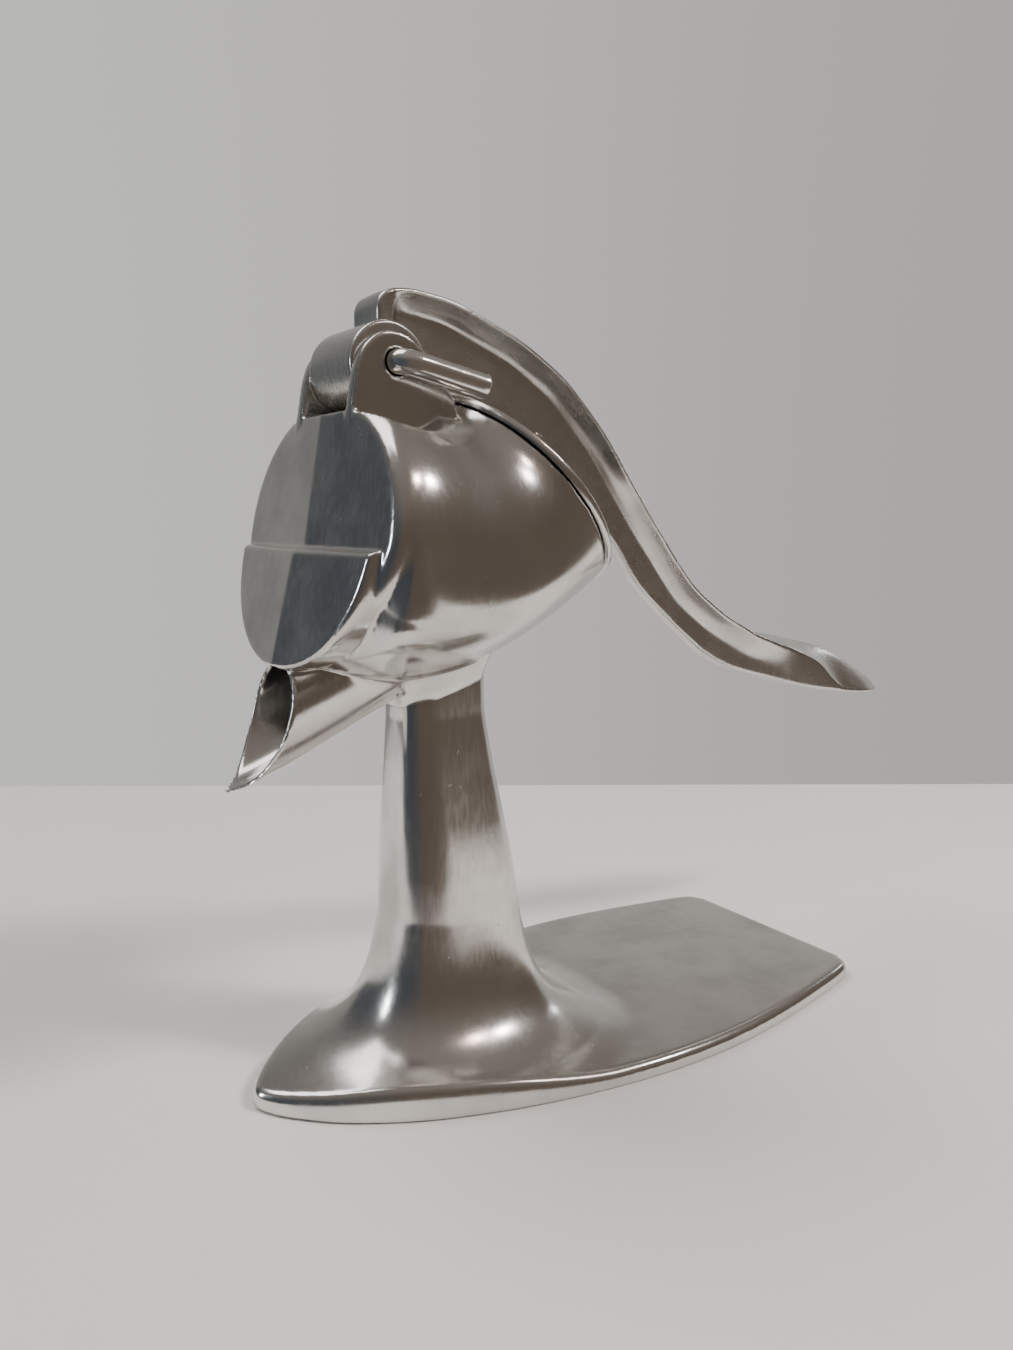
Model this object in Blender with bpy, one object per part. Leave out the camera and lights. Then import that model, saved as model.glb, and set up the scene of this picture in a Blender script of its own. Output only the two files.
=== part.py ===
"""Lever citrus press: a cast stand, a cast bowl with a spout, a strainer cup, and a hinged
lever that pushes a pressing dome into the cup.  Metres, Z up, front (the spout) towards -Y."""
import math

import bmesh
import bpy
import numpy as np

MM = 0.001

# ---- driving dimensions, in millimetres -------------------------------------------------------
LIP_R = 45.0                      # outer radius of the bowl's lip
LIP_Y = -24.0                     # lip centre, from the middle of the base
LIP_Z = 210.5
LIP_TILT = math.radians(47.0)     # how far the lip's plane leans back
PIN_R = 4.05                      # bent hinge rod
GAP = 0.3                         # clearance between any two pieces
HINGE_Y = -80.6
HINGE_Z = 252.6
KNUCKLE_R = 14.0
SLOT_HALF = 17.0                  # half the slot between the two ears
EAR_THICK = 5.0
EAR_OUT = SLOT_HALF + EAR_THICK
KNUCKLE_ROOM = 1.2                # space round the knuckle
POCKET_R = 22.5                   # round recess beside each ear
FRONT_HALF = 55.0                 # half the front face's width
FRONT_HALF_HEIGHT = 42.0
FRONT_Z = 196.0
EDGE_ROLL = 4.5                   # rounded border round the front face
SIDE_BULGE = 8.8                  # extra fullness of the bowl's lower sides
UPPER_FACE_Y = -104.94            # the front face's two parts, at the height FRONT_Z
LOWER_FACE_Y = -108.44
UPPER_LEAN = 0.1736               # how far each part leans forward towards its foot
LOWER_LEAN = 0.244
FOLD = 0.038                      # slope away from the middle fold
TUCK = 7.0                        # how far the border is drawn in behind the proud lower part
FRONT_POWER = 2.15                # roundness of the front's oval
MOUTH_R = 16.6                    # the mouth is round above its middle and pointed below it
MOUTH_Z = 140.0
MOUTH_TIP_Z = 114.1
SPOUT_WALL = 1.7
SEAT_Y = -56.0                    # middle of the pillar's sloping top seat
SEAT_Z = 141.2
SEAT_SLOPE = 0.27
PILLAR_WALL = 4.5
SHELF_Z = 108.0                   # underside of the shelf the head bolt pulls against
SPIGOT_R = 8.5
SPIGOT_DEPTH = 14.0
BOLT_R = 4.0
WASHER = 1.6
SPRING = 2.0
DOME_R = 31.5
DOME_PIN_N = 13.0                 # dome pin, above the lip's plane
DOME_PIN_R = 3.2
LEVER_LUG_HALF = 6.0
DOME_LUG_OUT = 11.0
CHAMBER_Y = -76.0                 # the juice chamber ahead of the cup
CHAMBER_Z = 187.0
CHAMBER_HALF = 41.0
CHAMBER_DEPTH = 26.0
CHAMBER_HALF_HEIGHT = 30.0
ROUND = 48                        # sides of the large round pieces
SPOUT_SIDES = 32

# base outline: distance along Y, half width
BASE = ((-130.7, 0.0), (-129.6, 4.2), (-124.0, 12.6), (-112.0, 24.6), (-96.0, 35.6),
        (-78.4, 44.6), (-52.0, 54.2), (-26.2, 60.6), (0.0, 64.8), (26.1, 66.3),
        (52.0, 65.2), (78.4, 61.6), (102.0, 57.0), (120.0, 52.8), (127.0, 49.0), (130.6, 42.0))
DECK_Z = 6.4
BASE_EDGE_Z = 2.6
BASE_ROLL = 3.4

# pillar sections from the top down: height, middle Y, half width, half length
PILLAR = ((146.0, -56.4, 12.5, 16.6), (134.0, -55.8, 13.2, 17.6), (112.0, -54.6, 14.9, 20.0),
          (90.0, -53.0, 17.0, 23.0), (72.0, -51.7, 18.6, 25.2), (60.0, -50.8, 19.5, 26.4))
PILLAR_POWER = 3.0
FOOT_Z = 60.0                     # where the pillar's straight part begins
FLARE_K = 510.0                   # how strongly the flare rises towards the pillar
FLARE_C = 8.4
FLARE_REACH = 46.0
FLARE_REACH_AHEAD = 14.0
# open hollow under the foot: height, half width, half length
FOOT_HOLLOW = ((-1.0, 35.0, 40.0), (6.0, 34.0, 39.0), (12.0, 31.5, 37.0), (20.0, 26.0, 32.0),
               (30.0, 21.0, 27.0), (42.0, 17.3, 23.6))

COS_T = math.cos(LIP_TILT)
SIN_T = math.sin(LIP_TILT)


# ---- frames and small helpers -----------------------------------------------------------------
def tilted(x, a, n):
    """A point given across the lip, down the lip's plane and out along the lip's normal."""
    return (x, LIP_Y + a * COS_T + n * SIN_T, LIP_Z - a * SIN_T + n * COS_T)


def signed_power(value, power):
    return math.copysign(abs(value) ** power, value)


def oval(half_a, half_b, angle, power):
    """A point on a rounded-square oval."""
    return (half_a * signed_power(math.cos(angle), 2.0 / power),
            half_b * signed_power(math.sin(angle), 2.0 / power))


def table(rows, key):
    """Straight-line look-up in rows sorted by their first column."""
    rows = sorted(rows)
    keys = [row[0] for row in rows]
    return [float(np.interp(key, keys, [row[i] for row in rows])) for i in range(1, len(rows[0]))]


def smooth_curve(points, count):
    """Points evenly spaced along a smooth curve through the given ones."""
    pts = np.array(points, float)
    padded = np.vstack([2 * pts[0] - pts[1], pts, 2 * pts[-1] - pts[-2]])
    dense = []
    for i in range(len(pts) - 1):
        p0, p1, p2, p3 = padded[i:i + 4]
        for t in np.linspace(0.0, 1.0, 24, endpoint=False):
            dense.append(0.5 * (2 * p1 + (p2 - p0) * t + (2 * p0 - 5 * p1 + 4 * p2 - p3) * t * t
                                + (3 * p1 - p0 - 3 * p2 + p3) * t ** 3))
    dense.append(pts[-1])
    dense = np.array(dense)
    run = np.concatenate([[0.0], np.cumsum(np.linalg.norm(np.diff(dense, axis=0), axis=1))])
    want = np.linspace(0.0, run[-1], count)
    return np.stack([np.interp(want, run, dense[:, i]) for i in range(dense.shape[1])], axis=1)


def make_object(name, points, faces):
    mesh = bpy.data.meshes.new(name)
    mesh.from_pydata([tuple(c * MM for c in p) for p in points], [], faces)
    mesh.validate()
    obj = bpy.data.objects.new(name, mesh)
    bpy.context.scene.collection.objects.link(obj)
    return obj


def loft(name, rings, close_ends=True):
    """A closed skin through rings of equal point count; the ends are capped by one face each."""
    count = len(rings[0])
    points = [p for ring in rings for p in ring]
    faces = []
    for i in range(len(rings) - 1):
        for j in range(count):
            k = (j + 1) % count
            faces.append((i * count + j, i * count + k, (i + 1) * count + k, (i + 1) * count + j))
    if close_ends:
        last = (len(rings) - 1) * count
        faces.append(tuple(reversed(range(count))))
        faces.append(tuple(range(last, last + count)))
    return face_out(make_object(name, points, faces))


def face_out(obj):
    """Turn every face outwards."""
    volume = 0.0
    mesh = obj.data
    mesh.calc_loop_triangles()
    for tri in mesh.loop_triangles:
        a, b, c = (mesh.vertices[i].co for i in tri.vertices)
        volume += a.dot(b.cross(c))
    if volume < 0:
        mesh.flip_normals()
    return obj


def prism(name, outline, x_low, x_high):
    """An outline in the YZ plane, pushed along X."""
    return loft(name, [[(x, y, z) for y, z in outline] for x in (x_low, x_high)])


def rod(name, radius, x_low, x_high, y=HINGE_Y, z=HINGE_Z, sides=32, end_chamfer=0.0):
    """A round bar along X, with optional chamfered ends."""
    stations = [(x_low, radius - end_chamfer), (x_low + end_chamfer, radius),
                (x_high - end_chamfer, radius), (x_high, radius - end_chamfer)]
    if end_chamfer == 0.0:
        stations = [stations[0], stations[-1]]
    rings = []
    for x, r in stations:
        turn = [2 * math.pi * i / sides for i in range(sides)]
        rings.append([(x, y + r * math.cos(t), z + r * math.sin(t)) for t in turn])
    return loft(name, rings)


def turned(name, profile, place, sides=ROUND):
    """A solid of revolution; profile is (radius, height), place maps (x, a, height) to a point."""
    rings = []
    for radius, height in profile:
        turn = [2 * math.pi * i / sides for i in range(sides)]
        rings.append([place(radius * math.cos(t), radius * math.sin(t), height) for t in turn])
    return loft(name, rings)


def upright(y):
    """A placing function for pieces turned about a vertical line."""
    return lambda x, a, height: (x, y + a, height)


def combine(body, tool, operation):
    """Join or cut with an exact solid operation, and drop the tool."""
    step = body.modifiers.new("step", "BOOLEAN")
    step.operation = operation
    step.solver = "EXACT"
    step.object = tool
    bpy.context.view_layer.update()
    graph = bpy.context.evaluated_depsgraph_get()
    mesh = bpy.data.meshes.new_from_object(body.evaluated_get(graph))
    body.modifiers.clear()
    body.data = mesh
    bpy.data.objects.remove(tool)
    return body


def finish(obj, colour, metallic, roughness, smooth_angle=32.0):
    """Give the piece its own material, and smooth its round surfaces."""
    skin = bmesh.new()
    skin.from_mesh(obj.data)
    bmesh.ops.remove_doubles(skin, verts=skin.verts, dist=0.004 * MM)
    bmesh.ops.dissolve_degenerate(skin, edges=skin.edges, dist=0.004 * MM)
    skin.to_mesh(obj.data)
    skin.free()
    material = bpy.data.materials.new(obj.name + "_metal")
    material.use_nodes = True
    shader = material.node_tree.nodes["Principled BSDF"]
    shader.inputs["Base Color"].default_value = (*colour, 1.0)
    shader.inputs["Metallic"].default_value = metallic
    shader.inputs["Roughness"].default_value = roughness
    obj.data.materials.clear()
    obj.data.materials.append(material)
    obj.data.shade_smooth()
    obj.data.set_sharp_from_angle(angle=math.radians(smooth_angle))
    return obj


# ---- stand ------------------------------------------------------------------------------------
def base_outline(inset=0.0, count=72):
    """The base's plan outline, front tip first, evenly spaced."""
    right = [(w, y) for y, w in BASE]
    left = [(-w, y) for y, w in reversed(BASE)]
    loop = smooth_curve(right, count // 2)[:-1]
    loop = np.vstack([loop, np.array([right[-1]]), smooth_curve(left, count // 2)[:-1]])
    centre = np.array([0.0, 10.0])
    if inset:
        nxt = np.roll(loop, -1, axis=0)
        prv = np.roll(loop, 1, axis=0)
        along = nxt - prv
        normal = np.stack([along[:, 1], -along[:, 0]], axis=1)
        normal /= np.linalg.norm(normal, axis=1)[:, None] + 1e-9
        outward = np.sum(normal * (loop - centre), axis=1) > 0
        normal[~outward] *= -1
        loop = loop - normal * inset
    return loop


def pillar_section(z, trim, plan):
    """The pillar's outline at one height, point for point with the base outline."""
    middle, half_x, half_y = table(PILLAR, z)
    ring = []
    for x, y in plan:
        angle = math.atan2((y + 50.0) / 80.0, x / 62.0)
        ox, oy = oval(half_x - trim, half_y - trim, angle, PILLAR_POWER)
        ring.append((ox, middle + oy))
    return ring


def flare_height(x, y):
    """Height of the stand's upper skin, outside the pillar's foot."""
    middle, half_x, half_y = table(PILLAR, FOOT_Z)
    dy = y - middle
    gauge = (abs(x / half_x) ** 3 + abs(dy / half_y) ** 3) ** (1 / 3)
    reach = math.hypot(x, dy)
    away = max(0.0, reach * (1.0 - 1.0 / max(gauge, 1.0)))
    ahead = max(0.0, -dy / max(reach, 1e-6)) ** 4
    limit = FLARE_REACH + FLARE_REACH_AHEAD * ahead
    rise = FLARE_K / (away + FLARE_C) - FLARE_K / (limit + FLARE_C)
    return DECK_Z + max(0.0, rise) * min(1.0, max(0.0, (limit - away) / 14.0)) ** 0.5


def stand_skin():
    """Rings from the base's underside up over the rolled edge and the flare to the pillar's top."""
    plan = base_outline()
    foot = pillar_section(FOOT_Z, 0.0, plan)
    inner = base_outline(BASE_ROLL)
    tops = [flare_height(x, y) for x, y in inner]
    rings = [[(x, y, z) for x, y in plan] for z in (0.0, BASE_EDGE_Z)]
    for share in (0.3, 0.7):
        turn = share * math.pi / 2
        rolled = base_outline(BASE_ROLL * (1 - math.cos(turn)))
        rings.append([(x, y, BASE_EDGE_Z + (top - BASE_EDGE_Z) * math.sin(turn))
                      for (x, y), top in zip(rolled, tops)])
    for share in (1.0, 0.9, 0.78, 0.64, 0.50, 0.38, 0.28, 0.20, 0.135, 0.085, 0.045, 0.015):
        ring = []
        for (ex, ey), (fx, fy) in zip(inner, foot):
            x = fx + (ex - fx) * share
            y = fy + (ey - fy) * share
            ring.append((x, y, flare_height(x, y)))
        rings.append(ring)
    for z in (84.0, 100.0, 116.0):
        rings.append([(x, y, z) for x, y in pillar_section(z, 0.0, plan)])
    seat = pillar_section(134.0, 0.0, plan)
    rings.append([(x, y, SEAT_Z + SEAT_SLOPE * (y - SEAT_Y) - 0.5 * GAP) for x, y in seat])
    return rings


def stand_hollow():
    """The open hollow under the flare, narrowing into the pillar up to the bolt's shelf."""
    turn = [2 * math.pi * i / 36 for i in range(36)]
    rings = [[(hx * math.cos(t), -51.0 + hy * math.sin(t), z) for t in turn] for z, hx, hy in FOOT_HOLLOW]
    for z in (FOOT_Z, 84.0, SHELF_Z):
        middle, half_x, half_y = table(PILLAR, z)
        ring = [oval(half_x - PILLAR_WALL, half_y - PILLAR_WALL, t, PILLAR_POWER) for t in turn]
        rings.append([(x, middle + y, z) for x, y in ring])
    return loft("hollow", rings)


def drill(y, radius, low, high, sides=24):
    """A round upright cutter."""
    return turned("drill", ((radius, low), (radius, high)), upright(y), sides)


def build_stand():
    stand = loft("stand_casting", stand_skin())
    combine(stand, stand_hollow(), "DIFFERENCE")
    socket_floor = SEAT_Z - SPIGOT_DEPTH - GAP
    combine(stand, drill(SEAT_Y, SPIGOT_R + GAP, socket_floor, SEAT_Z + 20.0, 32), "DIFFERENCE")
    combine(stand, drill(SEAT_Y, BOLT_R + GAP, SHELF_Z - 5.0, SEAT_Z), "DIFFERENCE")
    return finish(stand, (0.72, 0.72, 0.71), 1.0, 0.28)


# ---- head casting -----------------------------------------------------------------------------
def upper_face_y(x, z):
    """The set-back upper part of the front face: a very shallow fold about the middle."""
    return UPPER_FACE_Y - (FRONT_Z - z) * UPPER_LEAN + abs(x) * FOLD


def lower_face_y(x, z):
    """The lower part of the front face, standing proud of the upper one."""
    return LOWER_FACE_Y - (FRONT_Z - z) * LOWER_LEAN + abs(x) * FOLD


def front_outline(angle, grow):
    """The front face's oval; below the ledge it is tucked in behind the proud plate."""
    tuck = TUCK * min(1.0, max(0.0, -math.sin(angle) * 2.2))
    x, z = oval(FRONT_HALF + grow - tuck, FRONT_HALF_HEIGHT + grow - 0.6 * tuck, angle, FRONT_POWER)
    return x, FRONT_Z + z


def side_bulge(share, turn):
    """How far the bowl's side swells outwards, most of it a little below the middle."""
    slant = math.degrees(math.atan2(math.sin(turn), abs(math.cos(turn))))
    return SIDE_BULGE * math.sin(math.pi * share ** 0.4) * math.exp(-((slant + 30.0) / 20.0) ** 2)


def head_skin():
    """The bowl's outside: front face, rounded border, then a smooth sweep to the round lip."""
    turn = [2 * math.pi * i / ROUND for i in range(ROUND)]
    rings = []
    for share in (0.03, 0.5, 1.0):
        ring = []
        for t in turn:
            x, z = front_outline(t, 0.0)
            x *= share
            z = FRONT_Z + (z - FRONT_Z) * share
            ring.append((x, upper_face_y(x, z), z))
        rings.append(ring)
    for k in (0.35, 0.7, 1.0):
        roll = k * math.pi / 2
        ring = []
        for t in turn:
            x, z = front_outline(t, EDGE_ROLL * math.sin(roll))
            ring.append((x, upper_face_y(x, z) + 1.2 * EDGE_ROLL * (1 - math.cos(roll)), z))
        rings.append(ring)
    start = np.array(rings[-1])
    lip = np.array([tilted(LIP_R * math.cos(t), -LIP_R * math.sin(t), 0.0) for t in turn])
    normal = np.array([0.0, SIN_T, COS_T])
    for s in (0.08, 0.18, 0.30, 0.42, 0.54, 0.66, 0.78, 0.89, 1.0):
        h00 = 2 * s ** 3 - 3 * s ** 2 + 1
        h10 = s ** 3 - 2 * s ** 2 + s
        h01 = 1.0 - h00
        h11 = s ** 3 - s ** 2
        ring = []
        for i, t in enumerate(turn):
            below = max(0.0, -math.sin(t))
            reach = 0.95 * np.linalg.norm(lip[i] - start[i])
            tucked = min(1.0, below * 2.2)
            swell = 0.10 + 0.32 * below ** 2 + 0.20 * tucked * (1.0 - below)
            leave = np.array([swell * math.cos(t), 1.0, swell * math.sin(t)]) * reach
            outward = np.array([math.cos(t), -math.sin(t) * COS_T, math.sin(t) * SIN_T])
            arrive = (normal + 0.13 * outward) * reach * (1.0 + 0.18 * below)
            bulge = side_bulge(s, t) * np.array([math.cos(t), 0.0, math.sin(t)])
            ring.append(tuple(h00 * start[i] + h10 * leave + h01 * lip[i] + h11 * arrive + bulge))
        rings.append(ring)
    return loft("head_casting", rings)


def lower_outline(grow):
    """The proud plate's outline: the lower half of an oval under a straight ledge."""
    turn = [math.pi + math.pi * i / 30 for i in range(31)]
    curve = [oval(FRONT_HALF - 3.0 + grow, FRONT_HALF_HEIGHT + grow, t, FRONT_POWER) for t in turn]
    ledge = FRONT_Z - 2.6 + grow
    loop = [(x, min(FRONT_Z + z, ledge)) for x, z in curve]
    loop += [(float(x), ledge) for x in np.linspace(loop[-1][0], loop[0][0], 14)[1:-1]]
    return loop


def lower_plate():
    """The proud lower half of the front face, with its own rounded border."""
    middle = FRONT_Z - 18.0
    rings = []
    for share, grow, back in ((0.04, -1.6, 0.0), (0.5, -1.6, 0.0), (1.0, -1.6, 0.0), (1.0, -0.5, 0.5),
                              (1.0, 0.0, 1.6), (1.0, 0.3, 4.0), (1.0, 0.3, 14.0)):
        ring = []
        for x, z in lower_outline(grow):
            x *= share
            z = middle + (z - middle) * share
            ring.append((x, lower_face_y(x, z) + back, z))
        rings.append(ring)
    return loft("lower_plate", rings)


def ear_outline():
    points = ((-97.9, 232.0), (-97.4, 236.5), (-96.5, 242.0), (-94.8, 250.5), (-92.2, 256.6),
              (-87.6, 260.8), (-82.9, 262.2), (-77.9, 261.5), (-73.5, 259.2), (-69.6, 255.6),
              (-62.4, 246.0), (-59.5, 242.6))
    outline = [tuple(p) for p in smooth_curve(points, 22)]
    return outline + [(-56.0, 226.0), (-92.0, 222.0)]


# the mouth's slanting rim: height, distance along Y
MOUTH_LINE = ((156.6, -115.2), (140.0, -118.8), (128.0, -123.2), (118.0, -129.7), (114.1, -135.7))


def mouth_ring(trim):
    """The mouth's rim, from its right side over the top."""
    line = smooth_curve(MOUTH_LINE, 40)[::-1]
    ring = []
    for i in range(SPOUT_SIDES):
        turn = 2 * math.pi * i / SPOUT_SIDES
        across, up = math.cos(turn), math.sin(turn)
        reach = MOUTH_R if up > 0.0 else MOUTH_Z - MOUTH_TIP_Z
        x = (MOUTH_R - trim) * signed_power(across, 1.0 if up > 0.0 else 1.15)
        y = float(np.interp(MOUTH_Z + reach * up, line[:, 0], line[:, 1]))
        ring.append((x, y, MOUTH_Z + (reach - trim) * up))
    return ring


def spout_rings(trim):
    """Rings from deep inside the bowl out to the mouth."""
    rim = np.array(mouth_ring(trim))
    turn = [2 * math.pi * i / SPOUT_SIDES for i in range(SPOUT_SIDES)]
    root = np.array([((13.0 - trim) * math.cos(t), -58.0, 164.0 + (18.0 - trim) * math.sin(t))
                     for t in turn])
    sag = np.array([max(0.0, -math.sin(t)) ** 2 for t in turn])
    rings = []
    for step in (1.0, 0.8, 0.6, 0.42, 0.27, 0.15, 0.07, 0.0):
        ring = rim * (1.0 - step) + root * step
        ring[:, 2] -= 20.0 * step * (1.0 - step) ** 3 * sag
        rings.append([tuple(p) for p in ring])
    return rings


def spout_tube():
    """The spout's outside, ending on the hollowed, slanting mouth."""
    rings = spout_rings(0.0)
    points = [p for ring in rings for p in ring]
    n = SPOUT_SIDES
    faces = []
    for r in range(len(rings) - 1):
        for j in range(n):
            k = (j + 1) % n
            faces.append((r * n + j, r * n + k, (r + 1) * n + k, (r + 1) * n + j))
    faces.append(tuple(reversed(range(n))))
    last = (len(rings) - 1) * n
    quarter = n // 4
    for m in range(n // 2):
        right, left = last + (quarter - m) % n, last + quarter + m
        right_low, left_low = last + (quarter - m - 1) % n, last + (quarter + m + 1) % n
        faces.append(tuple(dict.fromkeys((right, left, left_low, right_low))))
    return face_out(make_object("spout", points, faces))


def spout_bore():
    """The spout's inside, reaching out through the mouth."""
    rings = spout_rings(SPOUT_WALL)[2:]
    rings.append([(x, y - 9.0, z - 0.8) for x, y, z in rings[-1]])
    return loft("bore", rings)


def neck():
    """The short stem under the bowl, seated on the pillar's sloping top."""
    plan = base_outline(0.0, 56)
    section = pillar_section(134.0, 0.0, plan)
    rings = []
    for rise, grow in ((0.5 * GAP, 1.0), (1.5, 1.01), (4.0, 1.06), (7.0, 1.15), (14.0, 1.30)):
        ring = []
        for x, y in section:
            gx = x * grow
            gy = SEAT_Y + (y - SEAT_Y) * grow
            ring.append((gx, gy, SEAT_Z + SEAT_SLOPE * (gy - SEAT_Y) + rise))
        rings.append(ring)
    return loft("neck", rings)


CUP_CAVITY = ((41.5, 3.0), (41.4, 0.0), (40.6, -10.0), (39.0, -20.0), (36.2, -31.0), (32.0, -42.0),
              (26.0, -52.0), (18.0, -59.5), (9.0, -63.8), (1.5, -65.0))


def juice_chamber():
    """The rounded space ahead of the cup, from which the juice runs into the spout."""
    rings = []
    for i in range(1, 12):
        lift = math.pi * i / 12
        level = CHAMBER_Z + CHAMBER_HALF_HEIGHT * math.cos(lift)
        turn = [2 * math.pi * k / 32 for k in range(32)]
        rings.append([(CHAMBER_HALF * math.sin(lift) * math.cos(t),
                       CHAMBER_Y + CHAMBER_DEPTH * math.sin(lift) * math.sin(t), level) for t in turn])
    return loft("chamber", rings)


def spigot():
    """The round spigot that locates the head in the pillar's socket."""
    low = SEAT_Z - SPIGOT_DEPTH
    profile = ((SPIGOT_R - 0.8, low), (SPIGOT_R, low + 0.8), (SPIGOT_R, SEAT_Z + 8.0))
    return turned("spigot", profile, upright(SEAT_Y), 32)


def knuckle_slot(head):
    """Clear the space between the ears for the lever's knuckle."""
    room = KNUCKLE_R + KNUCKLE_ROOM
    combine(head, rod("knuckle_room", room, -SLOT_HALF, SLOT_HALF, sides=48), "DIFFERENCE")
    floor = HINGE_Z - room
    outline = [(HINGE_Y, floor), (HINGE_Y, 300.0), (-120.0, 300.0), (-120.0, floor - 0.6)]
    combine(head, prism("slot_front", outline, -SLOT_HALF, SLOT_HALF), "DIFFERENCE")


def both_sides(near, far):
    """The two mirrored spans of X between two distances from the middle."""
    return [tuple(sorted((side * near, side * far))) for side in (-1.0, 1.0)]


def build_head():
    head = head_skin()
    combine(head, lower_plate(), "UNION")
    for low, high in both_sides(SLOT_HALF, EAR_OUT):
        combine(head, prism("ear", ear_outline(), low, high), "UNION")
    combine(head, spout_tube(), "UNION")
    combine(head, neck(), "UNION")
    combine(head, spigot(), "UNION")
    combine(head, turned("cavity", CUP_CAVITY, tilted), "DIFFERENCE")
    combine(head, juice_chamber(), "DIFFERENCE")
    combine(head, spout_bore(), "DIFFERENCE")
    knuckle_slot(head)
    for low, high in both_sides(EAR_OUT, 70.0):
        combine(head, rod("pocket", POCKET_R, low, high, sides=56), "DIFFERENCE")
    combine(head, rod("pin_bore", PIN_R + GAP, -40.0, 40.0), "DIFFERENCE")
    combine(head, drill(SEAT_Y, BOLT_R + GAP, SEAT_Z - 30.0, SEAT_Z + 6.0), "DIFFERENCE")
    return finish(head, (0.74, 0.74, 0.73), 1.0, 0.2)


# ---- strainer cup -----------------------------------------------------------------------------
STRAINER_OUT = ((39.6, 0.3), (39.4, -4.0), (38.2, -12.0), (35.6, -21.0), (31.4, -30.0), (25.0, -38.0),
                (16.5, -43.6), (7.5, -46.2), (1.0, -46.8))
STRAINER_WALL = 1.6
FLANGE_R = 46.3
FLANGE_TOP = 3.3
STRAINER_HOLE_R = 2.2
STRAINER_HOLES = ((0.0, 1), (8.9, 6), (17.2, 12), (25.1, 18))    # ring radius, holes in the ring


def strainer_drills():
    """One tool holding every drain hole's eight-sided cutter, in rings about the cup's axis."""
    points, faces = [], []
    sides = 8
    for ring_r, count in STRAINER_HOLES:
        for i in range(count):
            t = 2 * math.pi * i / count
            first = len(points)
            for height in (-60.0, -20.0):
                for k in range(sides):
                    turn = 2 * math.pi * (k + 0.5) / sides
                    points.append(tilted(ring_r * math.cos(t) + STRAINER_HOLE_R * math.cos(turn),
                                         ring_r * math.sin(t) + STRAINER_HOLE_R * math.sin(turn), height))
            faces.append(tuple(first + j for j in reversed(range(sides))))
            faces.append(tuple(first + sides + j for j in range(sides)))
            for j in range(sides):
                k = (j + 1) % sides
                faces.append((first + j, first + k, first + sides + k, first + sides + j))
    return face_out(make_object("drills", points, faces))


def build_strainer():
    """A thin perforated cup hung from the lip by a flat flange."""
    edge = FLANGE_R - 0.5
    skin = [(edge, FLANGE_TOP), (FLANGE_R, FLANGE_TOP - 0.5), (FLANGE_R, GAP + 0.4), (edge, GAP)]
    cup = turned("strainer_cup", skin + list(STRAINER_OUT), tilted)
    inside = [(STRAINER_OUT[0][0] - STRAINER_WALL + 0.6, FLANGE_TOP + 1.0)]
    for radius, height in STRAINER_OUT[:-1]:
        floor = 0.3 if radius > 30.0 else STRAINER_WALL
        inside.append((radius - STRAINER_WALL, height + floor))
    combine(cup, turned("inside", inside, tilted), "DIFFERENCE")
    combine(cup, strainer_drills(), "DIFFERENCE")
    return finish(cup, (0.76, 0.76, 0.75), 1.0, 0.3)


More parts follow.
